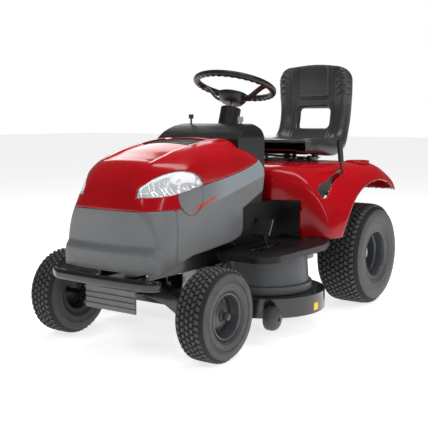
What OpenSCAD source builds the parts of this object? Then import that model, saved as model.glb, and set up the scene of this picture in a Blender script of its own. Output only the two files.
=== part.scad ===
// Riding lawn mower with a side-discharge deck.
// +X is the operator's left, the front points to -Y, +Z is up and the ground is z = 0.
// Lengths along Y inside the modules start at the middle of the wheelbase;
// place() moves the whole machine so that its box is centred on the origin.

/* [Wheels] */
// Distance between the front and rear axles
wheelbase = 1140; // [1080:10:1240]
// Distance between the front tyre centres
front_track = 712; // [690:2:800]
// Distance between the rear tyre centres
rear_track = 684; // [672:2:760]
// Outer diameter of the front tyres
front_tyre_d = 330; // [300:2:340]
// Width of the front tyres
front_tyre_w = 124; // [105:1:130]
// Outer diameter of the rear tyres
rear_tyre_d = 457; // [420:1:470]
// Width of the rear tyres
rear_tyre_w = 212; // [180:1:220]
// Outer diameter of the front rim barrel
front_rim_d = 152; // [130:1:170]
// Outer diameter of the rear rim barrel
rear_rim_d = 203; // [180:1:230]
// Radius of the front spindles and kingpins
stub_r = 9.5; // [8:0.5:11]
// Radius of the rear axle shafts
axle_r = 12; // [9:0.5:14]

/* [Body] */
// Half width of the hood at its side panels
hood_half_w = 235; // [210:1:245]
// Height of the hood's front bottom edge
hood_bottom = 308; // [302:1:322]
// Wall of the hood, fenders and covers
wall = 4; // [2.5:0.5:5]
// Gap between neighbouring body panels
panel_gap = 0.5; // [0.3:0.1:2]
// Half width of the dashboard
dash_half_w = 203; // [180:1:206]
// Half width of the centre tunnel
tunnel_half_w = 190; // [170:1:196]
// Height of the top of the rear body
body_top = 645; // [620:1:660]
// Half width over the rear fenders
fender_half_w = 440; // [425:1:470]
// Height of the top of the footrests
footrest_top = 340; // [336:1:348]
// Outer edge of the footrests
footrest_half_w = 447; // [400:1:470]

/* [Chassis] */
// Half distance between the outer faces of the frame rails
rail_half_w = 115; // [100:1:120]
// Sheet thickness of the frame
rail_t = 5; // [3:0.5:6]
// Height of the rails' lower edge
rail_z = 266; // [264:1:276]
// Height of the rails
rail_h = 58; // [50:1:60]
// Radius of the front axle's pivot pin
pivot_r = 10; // [8:0.5:13]
// Diameter of the tow hole in the hitch plate
hitch_hole_d = 20; // [14:0.5:26]

/* [Deck] */
// Radius of each half of the cutting deck
deck_r = 250; // [240:1:255]
// Distance between the two blade spindles
spindle_gap = 490; // [470:1:500]
// Height of the skirt's lower edge with the deck raised
deck_z = 80; // [70:1:95]
// Depth of the deck
deck_h = 75; // [60:1:85]
// Wall of the deck
deck_t = 3; // [2:0.5:5]
// Length of each blade
blade_l = 474; // [430:1:480]

/* [Seat and steering] */
// Half width of the seat
seat_half_w = 204; // [180:1:220]
// Outer radius of the steering wheel
wheel_r = 190; // [160:1:200]
// Radius of the steering wheel's ring
wheel_tube_r = 14; // [10:0.5:18]
// Tilt of the steering column from the vertical
column_tilt = 17; // [10:0.5:22]
// Radius of the steering shaft
shaft_r = 10; // [8:0.5:12]
// Radius of the column housing
column_r = 43; // [34:1:48]
// Half width of the tower round the column
tower_half_w = 60; // [50:1:90]

/* [Fits] */
// Radial clearance between a shaft and its bore
fit = 0.05; // [0.02:0.01:0.1]
// Gap between parts that slide or rest beside each other
gap = 0.3; // [0.2:0.1:0.6]

/* [Hidden] */
$fn = 64;
far = 2000;

front_y = -wheelbase / 2;
rear_y = wheelbase / 2;
front_tyre_r = front_tyre_d / 2;
rear_tyre_r = rear_tyre_d / 2;
nose_y = front_y - 175;
tail_y = rear_y + 250;
bumper_y = nose_y - 35;
bumper_half_t = 13;
deck_x = -35;
deck_y = -25;
deck_left = deck_x + spindle_gap / 2 + deck_r;
deck_right = deck_x - spindle_gap / 2 - deck_r;
deflector_l = 122;
centre_x = -(deck_left + deck_right - deflector_l) / 2;
centre_y = -(bumper_y - bumper_half_t + tail_y) / 2;

rail_top = rail_z + rail_h;
kingpin_x = front_track / 2 - 88;
kingpin_half = 26;
arm_y = 92;
tie_pin_r = 6;
arm_z = front_tyre_r + kingpin_half + 6;
pivot_len = 150;
hinge_y = nose_y + 45;
hinge_z = 342;
hinge_pin_r = 6;

wheel_c = [0, 67, 980];
hub_t = -55;
column_top = -98;
column_low = -250;
shaft_low = -560;
seat_hinge = [0, 440, 670];
slider_z = body_top + 8 + gap;
slider_t = 5;

lift_pivot = [205, 420, 400];
lift_x = 352;
lift_angle = 10.3;
lift_arm = 235;
drive_pivot = [205, 465, 480];
drive_x = 300;
park_x = 118;
park_y = 62;
park_pin_r = 4;
pedal_pivot = [0, -120, 306];
pedal_x = 300;
pedal_shaft_r = 6;
lever_shaft_r = 8;
axle_plate_y = front_y - 36 - rail_t;

// ---------- shared helpers ----------

module place() translate([centre_x, centre_y, 0]) children();

// Draws its children once for side 1 (left) or mirrored for side -1 (right).
module on_side(side) mirror([side < 0 ? 1 : 0, 0, 0]) children();

// Round bar between two points.
module bar(a, b, r) {
    v = b - a;
    translate(a)
        rotate([0, acos(v[2] / norm(v)), atan2(v[1], v[0])])
            cylinder(h = norm(v), r = r);
}

// Outline in (Y, Z) extruded along X.
module x_prism(outline, x0, x1)
    translate([x0, 0, 0]) rotate([90, 0, 90]) linear_extrude(x1 - x0) polygon(outline);

// Outline in (X, Z) extruded along Y.
module y_prism(outline, y0, y1)
    translate([0, y1, 0]) rotate([90, 0, 0]) linear_extrude(y1 - y0) polygon(outline);

// Cylinder along X centred on a point.
module x_cylinder(centre, length, r)
    translate(centre) rotate([0, 90, 0]) cylinder(h = length, r = r, center = true);

// Cylinder along Y centred on a point.
module y_cylinder(centre, length, r)
    translate(centre) rotate([90, 0, 0]) cylinder(h = length, r = r, center = true);

// Frame whose Z axis is the steering column and whose origin is the steering wheel's centre.
module column_frame() translate(wheel_c) rotate([-column_tilt, 0, 0]) children();

function arc(cx, cy, r, a0, a1, n = 8) =
    [for (i = [0:n]) let (a = a0 + (a1 - a0) * i / n) [cx + r * cos(a), cy + r * sin(a)]];

function both_sides(half) =
    concat(half, [for (i = [len(half) - 1:-1:0]) [-half[i][0], half[i][1]]]);

// ---------- hood ----------

// Front and top line of the hood in side view, drawn inwards by d.
function hood_line(d) = concat(
    [[nose_y + d, hood_bottom - 1], [nose_y + d, 377], [nose_y + 16 + d, 403],
     [nose_y + 9 + d, 525], [nose_y + 22 + d, 585], [nose_y + 50 + d, 645]],
    arc(nose_y + 128, 636, 78 - d, 160, 112, 5),
    [[nose_y + 150, 720 - d], [nose_y + 205, 738 - d], [nose_y + 275, 754 - d],
     [nose_y + 350, 765 - d], [nose_y + 430, 773 - d], [nose_y + 530, 778 - d],
     [nose_y + 600, 760 - d], [nose_y + 694, 704 - d]]);

// Rear and bottom line of the side panels, from the top down and forwards.
hood_hem = [[nose_y + 694, 697], [nose_y + 675, 579], [nose_y + 667, 553], [nose_y + 527, 496],
    [nose_y + 527, 412], [nose_y + 513, 393], [nose_y + 485, 382],
    [nose_y + 446, 374], [nose_y + 216, 355], [nose_y + 100, hood_bottom + 14], [nose_y + 70, hood_bottom - 1]];

// Front outline of the hood, drawn inwards by d.
function hood_front(d) = both_sides(concat(
    [[hood_half_w - 8 - d, hood_bottom - 2], [hood_half_w - d, 420], [hood_half_w - d, 600]],
    arc(hood_half_w - 88, 684, 86 - d, 10, 68, 6),
    [[120, 772 - d], [60, 778 - d]]));

// Plan outline of the hood, drawn inwards by d.
function hood_plan(d) = both_sides(concat(
    [[hood_half_w - d, nose_y + 700], [hood_half_w - d, nose_y + 160]],
    arc(hood_half_w - 90, nose_y + 95, 90 - d, 0, -70, 6),
    [[90, nose_y + d]]));

// Solid bounded by the hood's outer surface moved inwards by d.
module hood_solid(d) {
    intersection() {
        x_prism(concat(hood_line(d), hood_hem), -far, far);
        y_prism(hood_front(d), -far, far);
        linear_extrude(900) polygon(hood_plan(d));
        intersection_for (side = [1, -1])
            on_side(side) hood_corner_side(d);
    }
}

// Everything inside the slanted front corner face of the left side.
module hood_corner_side(d)
    translate([150, nose_y + 12, 525])
        rotate([0, 0, 38])
            rotate([-24, 0, 0])
                translate([-far, d, -far])
                    cube([2 * far, 2 * far, 2 * far]);

// Sheet of the hood between depths d0 and d1.
module hood_sheet(d0 = 0, d1 = wall) {
    difference() {
        hood_solid(d0);
        hood_solid_open(d1);
        translate([-dash_half_w - 5, nose_y + 532, 560]) cube([2 * dash_half_w + 10, 300, 400]);
    }
}

// Inner solid that also runs out through the open bottom and back.
module hood_solid_open(d) {
    intersection() {
        x_prism(concat(hood_line(d), [[nose_y + 900, 690], [nose_y + 900, 200], [nose_y + d, 200]]),
            -far, far);
        y_prism(concat([[hood_half_w - 8 - d, 200]], hood_front(d), [[-hood_half_w + 8 + d, 200]]), -far, far);
        linear_extrude(900)
            polygon(concat([[hood_half_w - d, nose_y + 900]], hood_plan(d), [[-hood_half_w + d, nose_y + 900]]));
        intersection_for (side = [1, -1])
            on_side(side) hood_corner_side(d);
    }
}

colour_line_y = nose_y + 284;
// Region of the red upper hood in side view.
function red_region(c) = [
    [nose_y - 100, 525 + c], [nose_y + 180, 525 + c], [nose_y + 200, 600 + c],
    [colour_line_y, 603 + c], [nose_y + 490, 635 + c], [nose_y + 642, 672 + c],
    [nose_y + 720, 698 + c], [nose_y + 720, 900], [nose_y - 100, 900]];

// Headlight outline in side view, grown by c.
function lamp_outline(c) = concat(
    [[nose_y - 60, 574 - c], [nose_y + 12 - c, 576 - c], [nose_y + 20, 590 + c]],
    arc(nose_y + 190, 500, 160 + c, 125, 62, 8),
    [[nose_y + 272 + c, 608], [nose_y + 190, 590 - c], [nose_y + 110, 577 - c]]);

cover_c = [nose_y + 197, 560];
cover_r = 80;

module lamp_region(c) {
    x_prism(lamp_outline(c), 120 - c, far);
}

module cover_region(c) {
    difference() {
        x_cylinder([hood_half_w, cover_c[0], cover_c[1]], 120, cover_r + c);
        x_prism(lamp_outline(panel_gap - c), 100, far);
    }
}

vent_y0 = nose_y + 345;
vent_y1 = nose_y + 478;
vent_half_w = 118;

module hood_shell() color("firebrick") place() {
    difference() {
        intersection() {
            hood_sheet();
            x_prism(red_region(0), -far, far);
        }
        for (side = [1, -1])
            on_side(side) {
                lamp_region(panel_gap);
                cover_region(panel_gap);
            }
        translate([-vent_half_w - panel_gap, vent_y0 - panel_gap, 700])
            cube([2 * vent_half_w + 2 * panel_gap, vent_y1 - vent_y0 + 2 * panel_gap, 200]);
    }
}

seam_y = nose_y + 122;
module hood_nose() color("dimgray") place() {
    intersection() {
        difference() {
            hood_sheet();
            x_prism(red_region(-panel_gap), -far, far);
            for (side = [1, -1])
                on_side(side) {
                    lamp_region(panel_gap);
                    cover_region(panel_gap);
                }
        }
        translate([-far, -far, 0]) cube([2 * far, far + seam_y, far]);
    }
    for (side = [1, -1])
        on_side(side) hood_lug();
}

// Hinge lug behind the nose, turning on the frame's hinge pin.
module hood_lug()
    difference() {
        x_prism(concat([[nose_y + wall, hinge_z - 10]], arc(hinge_y, hinge_z, 12, -90, 90, 8),
            [[nose_y + wall, hinge_z + 40]]), 96, 102);
        x_cylinder([99, hinge_y, hinge_z], 20, hinge_pin_r + fit);
    }

module side_panel(side) on_side(side)
    difference() {
        intersection() {
            hood_sheet();
            translate([0, seam_y + panel_gap, 0]) cube(far);
        }
        x_prism(red_region(-panel_gap), -far, far);
        lamp_region(panel_gap);
        cover_region(panel_gap);
    }
module side_panel_left() color("gray") place() side_panel(1);
module side_panel_right() color("gray") place() side_panel(-1);

module hood_vent() color("dimgray") place() {
    difference() {
        intersection() {
            hood_sheet();
            translate([-vent_half_w, vent_y0, 700]) cube([2 * vent_half_w, vent_y1 - vent_y0, 200]);
        }
        for (row = [0:3])
            translate([-vent_half_w + 14, vent_y0 + 16 + row * 29, 690])
                cube([2 * vent_half_w - 28, 12, 120]);
    }
}

module headlight_lens(side) on_side(side)
    intersection() {
        hood_sheet(0, 3);
        lamp_region(0);
    }
module headlight_lens_left() color("white", 0.5) place() headlight_lens(1);
module headlight_lens_right() color("white", 0.5) place() headlight_lens(-1);

module headlight_reflector(side) on_side(side)
    intersection() {
        hood_sheet(3 + gap, 14);
        lamp_region(0);
    }
module headlight_reflector_left() color("silver") place() headlight_reflector(1);
module headlight_reflector_right() color("silver") place() headlight_reflector(-1);

module headlight_cover(side) on_side(side)
    intersection() {
        hood_sheet();
        cover_region(0);
    }
module headlight_cover_left() color("dimgray") place() headlight_cover(1);
module headlight_cover_right() color("dimgray") place() headlight_cover(-1);

// ---------- chassis ----------

hanger_y = [-150, 120];
hanger_x = 150;
hanger_r = 6;

module chassis_frame() color("black") place() {
    difference() {
        union() {
            for (side = [1, -1])
                on_side(side) {
                    translate([rail_half_w - rail_t, front_y - 80, rail_z]) cube([rail_t, wheelbase + 180, rail_h]);
                    translate([rail_half_w - 30, front_y - 80, rail_top - rail_t])
                        cube([30, wheelbase + 180, rail_t]);
                    // arms that carry the hood's hinge pin
                    x_prism(concat([[front_y - 60, rail_top - 20]], arc(hinge_y, hinge_z, 11, 270, 90, 8),
                        [[front_y - 60, hinge_z + 11]]), 84, 90);
                    // plates that hold the deck's guide rods
                    for (y = hanger_y)
                        translate([rail_half_w, y - 15, rail_z + 10]) cube([hanger_x - rail_half_w + 12, 30, 6]);
                }
            // plates that carry the front axle's pivot pin
            for (y = [axle_plate_y, front_y + 36])
                translate([-rail_half_w + rail_t, y, 205]) cube([2 * (rail_half_w - rail_t), rail_t, rail_top - 205]);
            // ears that carry the lift lever on the left and the drive lever on the right
            translate([rail_half_w - rail_t, lift_pivot[1] - 20, rail_top - 1])
                cube([rail_t, 40, lift_pivot[2] + 21 - rail_top]);
            translate([-rail_half_w, drive_pivot[1] - 20, rail_top - 1])
                cube([rail_t, 40, drive_pivot[2] + 21 - rail_top]);
            // engine plate and rear cross plate
            translate([-rail_half_w, front_y + 70, rail_top]) cube([2 * rail_half_w, 420, rail_t]);
            translate([-rail_half_w, rear_y + 100 - rail_t, rail_z]) cube([2 * rail_half_w, rail_t, rail_h]);
        }
        y_cylinder([0, front_y, 235], 300, pivot_r);
        for (side = [1, -1])
            on_side(side)
                for (y = hanger_y)
                    translate([hanger_x, y, rail_z]) cylinder(h = 60, r = hanger_r);
        x_cylinder([rail_half_w, lift_pivot[1], lift_pivot[2]], 60, lever_shaft_r + fit);
        x_cylinder([-rail_half_w, drive_pivot[1], drive_pivot[2]], 60, lever_shaft_r + fit);
        x_cylinder([rail_half_w, pedal_pivot[1], pedal_pivot[2]], 60, pedal_shaft_r + fit);
        translate([0, front_y + 200, rail_top - 1]) cylinder(h = 20, r = 16);
    }
    y_cylinder([0, front_y, 235], pivot_len, pivot_r);
    for (side = [1, -1])
        on_side(side)
            for (y = hanger_y)
                translate([hanger_x, y, 172]) cylinder(h = rail_z + 20 - 172, r = hanger_r);
    x_cylinder([0, hinge_y, hinge_z], 212, hinge_pin_r);
    steering_box();
}

// Block on the engine plate that carries the lower end of the steering shaft.
module steering_box() {
    difference() {
        column_frame() translate([-28, -24, shaft_low]) cube([56, 48, 26]);
        column_frame() translate([0, 0, shaft_low - 10]) cylinder(h = 60, r = shaft_r + fit);
    }
    for (side = [1, -1])
        translate([side * 33 - 7, -118, rail_top]) cube([14, 30, 118]);
}

function bumper_path(n = 10) = [for (i = [0:n])
    let (x = 258 * i / n) [x, bumper_y + (x < 200 ? 8 * pow(x / 200, 2) : 8 + 34 * pow((x - 200) / 62, 1.4))]];

module bumper() color("black") place() {
    path = bumper_path();
    inner = [for (i = [len(path) - 1:-1:0]) path[i] + [0, 2 * bumper_half_t]];
    for (side = [1, -1])
        on_side(side) {
            translate([0, -bumper_half_t, 264]) linear_extrude(33) polygon(concat(path, inner));
            translate([70, bumper_y + bumper_half_t - 2, 266]) cube([14, 62, 14]);
            translate([70, bumper_y + 62, rail_z]) cube([14, axle_plate_y - bumper_y - 62, 14]);
        }
}

module axle_guard() color("dimgray") place() {
    guard_y = nose_y + 25;
    difference() {
        translate([-120, guard_y, 160]) cube([240, 8, 82]);
        for (row = [0:2])
            translate([-130, guard_y - 1, 178 + row * 20]) cube([260, 4, 6]);
    }
    for (side = [1, -1])
        translate([side * 77 - 7, guard_y + 8, 226]) cube([14, axle_plate_y - guard_y - 8, 16]);
}

module engine() color("dimgray") place() {
    ey = front_y + 200;
    translate([-105, ey - 100, rail_top + rail_t]) cube([210, 220, 140]);
    translate([0, ey, rail_top + rail_t + 140]) cylinder(h = 90, r1 = 140, r2 = 132);
    translate([0, ey, rail_top + rail_t + 230]) cylinder(h = 34, r = 88);
    for (fin = [0:5])
        translate([-60, ey - 150, rail_top + 30 + fin * 16]) cube([120, 51, 8]);
    translate([105, ey - 60, rail_top + 60]) cube([45, 110, 60]);
}

module muffler() color("silver") place() {
    x_cylinder([0, front_y - 4, rail_top + 76], 170, 44);
    bar([0, front_y + 30, rail_top + 90], [0, front_y + 50, rail_top + 90], 12);
    translate([-30, front_y - 24, rail_top]) cube([60, 40, 36]);
}

module battery() color("black") place() {
    translate([-85, front_y + 345, rail_top + rail_t]) cube([170, 95, 130]);
    for (x = [-60, 60])
        translate([x, front_y + 392, rail_top + rail_t + 130]) cylinder(h = 12, r = 9);
}

// Side outline of the dashboard, drawn inwards by d.
function dash_side(d) = concat(
    [[nose_y + 540 + d, 500], [nose_y + 540 + d, 762 - d]],
    [[nose_y + 575, 789 - d], [nose_y + 620, 812 - d], [nose_y + 670, 824 - d], [nose_y + 700, 822 - d],
     [nose_y + 722 - d, 800 - d], [nose_y + 731 - d, 760 - d], [nose_y + 731 - d, 500]]);
function dash_front(d) = both_sides(concat(
    [[tunnel_half_w - d, 499], [dash_half_w - d, 600], [dash_half_w - d, 735]],
    arc(dash_half_w - 60, 764, 60 - d, 0, 75, 6)));

// Side outline of the tower round the steering column, drawn inwards by d.
function tower_side(d) = [
    [nose_y + 600, body_top + 1], [nose_y + 600, 780], [nose_y + 660, 820 - d], [nose_y + 730, 822 - d],
    [nose_y + 786, 808 - d], [nose_y + 806 - d, 780 - d], [nose_y + 802 - d, body_top + 1]];

module dash_solid(d) {
    intersection() {
        x_prism(dash_side(d), -far, far);
        y_prism(dash_front(d), -far, far);
    }
    x_prism(tower_side(d), -tower_half_w + d, tower_half_w - d);
}

module dashboard() color("black") place() {
    difference() {
        dash_solid(0);
        dash_solid(wall);
        column_frame() translate([0, 0, column_low - 30]) cylinder(h = 400, r = column_r + gap);
        translate([throttle[0] - 3, throttle[1] - 24, throttle[2] - 30]) cube([6, 48, 60]);
        key_frame() translate([0, 0, -30]) cylinder(h = 60, r = 5 + fit);
    }
}

module steering_column() color("dimgray") place()
    column_frame()
        difference() {
            translate([0, 0, column_low]) cylinder(h = column_top - column_low, r = column_r);
            translate([0, 0, column_low - 1]) cylinder(h = 400, r = shaft_r + fit);
            translate([0, 0, column_low - 1]) cylinder(h = column_top - column_low - 40, r = column_r - 8);
        }

// Hollow cover between the footrests.
module centre_tunnel() color("black") place() {
    y0 = nose_y + 535;
    y1 = rear_y - 240;
    difference() {
        translate([-tunnel_half_w, y0, footrest_top - 12]) cube([2 * tunnel_half_w, y1 - y0, 500 - footrest_top + 12]);
        translate([-tunnel_half_w + wall, y0 - 1, footrest_top - 13])
            cube([2 * (tunnel_half_w - wall), y1 - y0 + 2, 500 - footrest_top + 13 - wall]);
        column_frame() translate([0, 0, -600]) cylinder(h = 500, r = shaft_r + 12);
    }
    // ears of the parking brake lever
    for (side = [1, -1])
        difference() {
            translate([park_x + side * 14 - 2, park_y - 12, 500]) cube([4, 24, 72]);
            x_cylinder([park_x, park_y, 560], 60, park_pin_r + fit);
        }
}

// ---------- rear body ----------

body_front = nose_y + 732;
// Plan of the rear body and its fenders, drawn inwards by d.
function body_plan(d) = both_sides([
    [tunnel_half_w - d * 0.7, body_front + d], [286 - d * 0.7, body_front + 63 + d],
    [404 - d, 186 + d * 0.4], [fender_half_w - 18 - d, 236], [fender_half_w - 4 - d, 300],
    [fender_half_w - d, 400], [fender_half_w - d, tail_y - 60], [fender_half_w - 40 - d, tail_y - d]]);
function body_side(d) = [
    [body_front - 1, footrest_top + 1], [body_front - 1, body_top - d],
    [rear_y + 40, body_top - d], [rear_y + 85, body_top - 9 - d], [rear_y + 135, body_top - 29 - d], [rear_y + 190, body_top - 57 - d],
    [rear_y + 226 - d, body_top - 95], [tail_y - d, body_top - 144], [tail_y - d, footrest_top + 1]];

// Section of the rear body across X, drawn inwards by d.
function body_section(d) = both_sides([[fender_half_w - d, 200], [fender_half_w - d, 500],
    [fender_half_w - 8 - d, 552 - d * 0.3], [fender_half_w - 28 - d, 600 - d * 0.6],
    [fender_half_w - 56 - d * 0.6, 634 - d], [fender_half_w - 90 - d * 0.3, body_top + 2 - d],
    [fender_half_w - 140, body_top + 6 - d]]);

// Half space behind a plane given by a point and its outward slopes, moved inwards by d.
module behind_plane(point, turn, lean, d)
    translate(point) rotate([0, 0, turn]) rotate([-lean, 0, 0]) translate([-far, d, -far])
        cube(2 * far);

module body_solid(d)
    intersection() {
        linear_extrude(900) polygon(body_plan(d));
        x_prism(body_side(d), -far, far);
        y_prism(body_section(d), -far, far);
        intersection_for (side = [1, -1])
            on_side(side)
                union() {
                    // sloping front of the fender
                    behind_plane([352, 378, body_top - 14], 57.8, 42.1, d);
                    // side of the pedestal
                    behind_plane([tunnel_half_w + 10, body_front + 13, body_top + 5], 79, 24.5, d);
                }
    }

module rear_body() color("firebrick") place() {
    arch_r = rear_tyre_r + 108;
    difference() {
        body_solid(0);
        body_solid(wall);
        // wheel arches and the raised rear hem
        x_cylinder([0, rear_y, rear_tyre_r], far, arch_r);
        translate([-far, rear_y, 0]) cube([2 * far, far, body_top - 140]);
        // foot space above the tunnel on both sides
        for (side = [1, -1])
            on_side(side) {
                translate([100, body_front - 10, footrest_top]) cube([186, 74, 500 - footrest_top]);
            }
        translate([-tunnel_half_w - gap, body_front - 10, 0]) cube([2 * tunnel_half_w + 2 * gap, 500, 500 + gap]);
        // slots for the lift lever, drive lever and parking brake
        translate([lift_x - 9, 202, 505]) cube([18, 190, 200]);
        translate([-drive_x - 9, 390, body_top - 30]) cube([18, 150, 80]);
        translate([park_x - 8, park_y - 62, body_top - 30]) cube([16, 80, 80]);
    }
    // raised oval rim on the left fender
    translate([330, rear_y + 10, body_top - 2])
        difference() {
            cylinder(h = 14, r = 52);
            translate([0, 0, -1]) cylinder(h = 30, r = 46);
        }
}

module footrest(side) on_side(side) {
    y1 = 196;
    outline = concat([[tunnel_half_w, y1], [tunnel_half_w, -330]],
        arc(tunnel_half_w + 60, -305, 60, 205, 270, 4),
        arc(footrest_half_w - 90, -275, 90, -90, 0, 8),
        [[footrest_half_w, 60], [footrest_half_w - 45, 186], [footrest_half_w - 60, y1]]);
    difference() {
        translate([0, 0, footrest_top - 26]) linear_extrude(26) polygon(outline);
        translate([0, 0, footrest_top - 27]) linear_extrude(22) polygon([
            [tunnel_half_w + 5, y1 + 1], [tunnel_half_w + 5, -330], [footrest_half_w - 60, -340],
            [footrest_half_w - 10, -280], [footrest_half_w - 5, 60], [footrest_half_w - 70, y1 + 1]]);
        if (side > 0)
            pedal_slot();
    }
    difference() {
        for (row = [0:5])
            translate([tunnel_half_w + 60, -215 + row * 40, footrest_top])
                rotate([0, 0, -18]) cube([150, 12, 3]);
        if (side > 0)
            pedal_slot();
    }
}
module pedal_slot()
    translate([pedal_x - 14, -250, footrest_top - 40]) cube([28, 190, 60]);
module footrest_left() color("black") place() footrest(1);
module footrest_right() color("black") place() footrest(-1);

module transaxle() color("dimgray") place() {
    difference() {
        union() {
            translate([-75, rear_y - 70, rear_tyre_r - 62]) cube([150, 140, 98]);
            x_cylinder([0, rear_y, rear_tyre_r], 360, 30);
            translate([0, rear_y - 20, rear_tyre_r - 90]) cylinder(h = 40, r = 48);
            // mounting plate under the rails
            translate([-60, rear_y - 60, rear_tyre_r]) cube([120, 120, rail_z - 8 - rear_tyre_r]);
            translate([-rail_half_w, rear_y - 60, rail_z - 8]) cube([2 * rail_half_w, 120, 8]);
        }
        x_cylinder([0, rear_y, rear_tyre_r], 400, axle_r + fit);
    }
}

hitch_y = tail_y - 120;
module hitch_plate() color("black") place() {
    difference() {
        union() {
            translate([-48, rear_y + 100, rail_z + 4]) cube([96, hitch_y + 20 - rear_y - 100, 6]);
            translate([0, hitch_y + 20, rail_z + 4]) cylinder(h = 6, r = 48);
            translate([-48, rear_y + 100, rail_z + 4]) cube([96, 6, 50]);
        }
        translate([0, hitch_y + 40, rail_z]) cylinder(h = 20, d = hitch_hole_d);
    }
}

module seat_bracket() color("black") place() {
    for (side = [1, -1])
        on_side(side)
            translate([60, seat_hinge[1] - 40, body_top]) cube([30, 250, 8]);
}

// ---------- front axle and wheels ----------

module front_axle_beam() color("black") place() {
    z = front_tyre_r;
    k = kingpin_half;
    difference() {
        union() {
            y_prism(both_sides([[kingpin_x + 4, z - k], [kingpin_x + 4, z + k], [kingpin_x - 26, z + k],
                [180, z + k + 30], [90, z + 94], [0, z + 94]]), front_y - 22, front_y + 22);
            for (side = [1, -1])
                translate([side * kingpin_x, front_y, z - k]) cylinder(h = 2 * k, r = 20);
        }
        y_prism(both_sides([[kingpin_x - 50, z - k - 1], [150, z + 10], [60, z + 32], [0, z + 32]]),
            front_y - 30, front_y + 30);
        y_cylinder([0, front_y, 235], 60, pivot_r + fit);
        for (side = [1, -1])
            translate([side * kingpin_x, front_y, 0]) cylinder(h = 400, r = stub_r + fit);
    }
}

// Kingpin, wheel spindle and steering arm of one side.
module stub_axle(side) on_side(side) {
    z = front_tyre_r;
    low = z - kingpin_half - gap;
    translate([kingpin_x, front_y, low - 14]) cylinder(h = arm_z + 6 - low + 14, r = stub_r);
    translate([kingpin_x, front_y, low - 14]) cylinder(h = 14, r = 18);
    translate([kingpin_x + 20 + gap, front_y - 12, low - 14]) cube([8, 24, 2 * kingpin_half - 12]);
    translate([kingpin_x, front_y - 12, low - 14]) cube([28, 24, 14]);
    x_cylinder([kingpin_x + 84, front_y, z], 2 * (84 - 20 - gap), stub_r);
    translate([0, 0, arm_z - 6 + gap]) linear_extrude(6) polygon(concat(
        arc(kingpin_x, front_y, 16, 180, 360, 8),
        arc(kingpin_x, front_y + arm_y, 12, 0, 180, 8)));
    translate([kingpin_x, front_y + arm_y, arm_z - 26]) cylinder(h = 24, r = tie_pin_r);
}
module stub_axle_left() color("dimgray") place() stub_axle(1);
module stub_axle_right() color("dimgray") place() stub_axle(-1);

module tie_rod() color("dimgray") place() {
    z = arm_z - 18;
    x = kingpin_x;
    difference() {
        union() {
            x_cylinder([0, front_y + arm_y, z], 2 * x, 7);
            for (side = [1, -1])
                translate([side * x, front_y + arm_y, z - 9]) cylinder(h = 18, r = 13);
        }
        for (side = [1, -1])
            translate([side * x, front_y + arm_y, z - 20]) cylinder(h = 40, r = tie_pin_r + fit);
    }
}

// Section of a tyre in (radius, half width), mirrored about its middle.
function tyre_section(r, w, rim_r, bead) = let (half = [
        [rim_r, bead / 2], [rim_r + 9, bead / 2], [rim_r + (r - rim_r) * 0.22, w * 0.47],
        [rim_r + (r - rim_r) * 0.5, w / 2], [r - w * 0.14, w * 0.485], [r - w * 0.05, w * 0.42],
        [r - w * 0.012, w * 0.3], [r, w * 0.12]])
    concat(half, [for (i = [len(half) - 1:-1:0]) [half[i][0], -half[i][1]]]);

module tyre(r, w, rim_r, bead)
    rotate([0, 90, 0]) rotate_extrude($fn = 96) polygon(tyre_section(r, w, rim_r, bead));

// Stepped disc rim with a hub tube; +X is the outside.
module rim(rim_r, bead, dish_x, hub_r, bore, hub_x0, hub_x1)
    rotate([0, 90, 0]) rotate_extrude($fn = 96) {
        translate([rim_r - 3, -bead / 2 - 4]) square([3, bead + 8]);
        for (s = [1, -1])
            translate([rim_r - 3, s * (bead / 2 + 2) - 2]) square([11, 4]);
        polygon([[hub_r - 1, dish_x + 12], [hub_r + 14, dish_x + 12], [rim_r * 0.62, dish_x],
            [rim_r * 0.76, dish_x - 14], [rim_r - 1, dish_x - 14], [rim_r - 1, dish_x - 18],
            [rim_r * 0.74, dish_x - 18], [rim_r * 0.6, dish_x - 4], [hub_r + 12, dish_x + 8],
            [hub_r - 1, dish_x + 8]]);
        translate([bore, hub_x0]) square([hub_r - bore, hub_x1 - hub_x0]);
    }

front_bead = front_tyre_w * 0.74;
rear_bead = rear_tyre_w * 0.82;
module at_front(side) on_side(side) translate([front_track / 2, front_y, front_tyre_r]) children();
module at_rear(side) on_side(side) translate([rear_track / 2, rear_y, rear_tyre_r]) children();

module front_tyre(side) at_front(side) tyre(front_tyre_r, front_tyre_w, front_rim_d / 2, front_bead);
module front_rim(side) at_front(side) {
    rim(front_rim_d / 2, front_bead, 16, 22, stub_r + fit, -52, 44);
    rotate([0, 90, 0]) translate([0, 0, 60]) cylinder(h = 4, r = 18);
    rotate([0, 90, 0]) translate([0, 0, 44]) difference() {
        cylinder(h = 16, r = 18);
        translate([0, 0, -1]) cylinder(h = 18, r = 13);
    }
}
module front_tyre_left() color("dimgray") place() front_tyre(1);
module front_tyre_right() color("dimgray") place() front_tyre(-1);
module front_rim_left() color("gray") place() front_rim(1);
module front_rim_right() color("gray") place() front_rim(-1);

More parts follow.
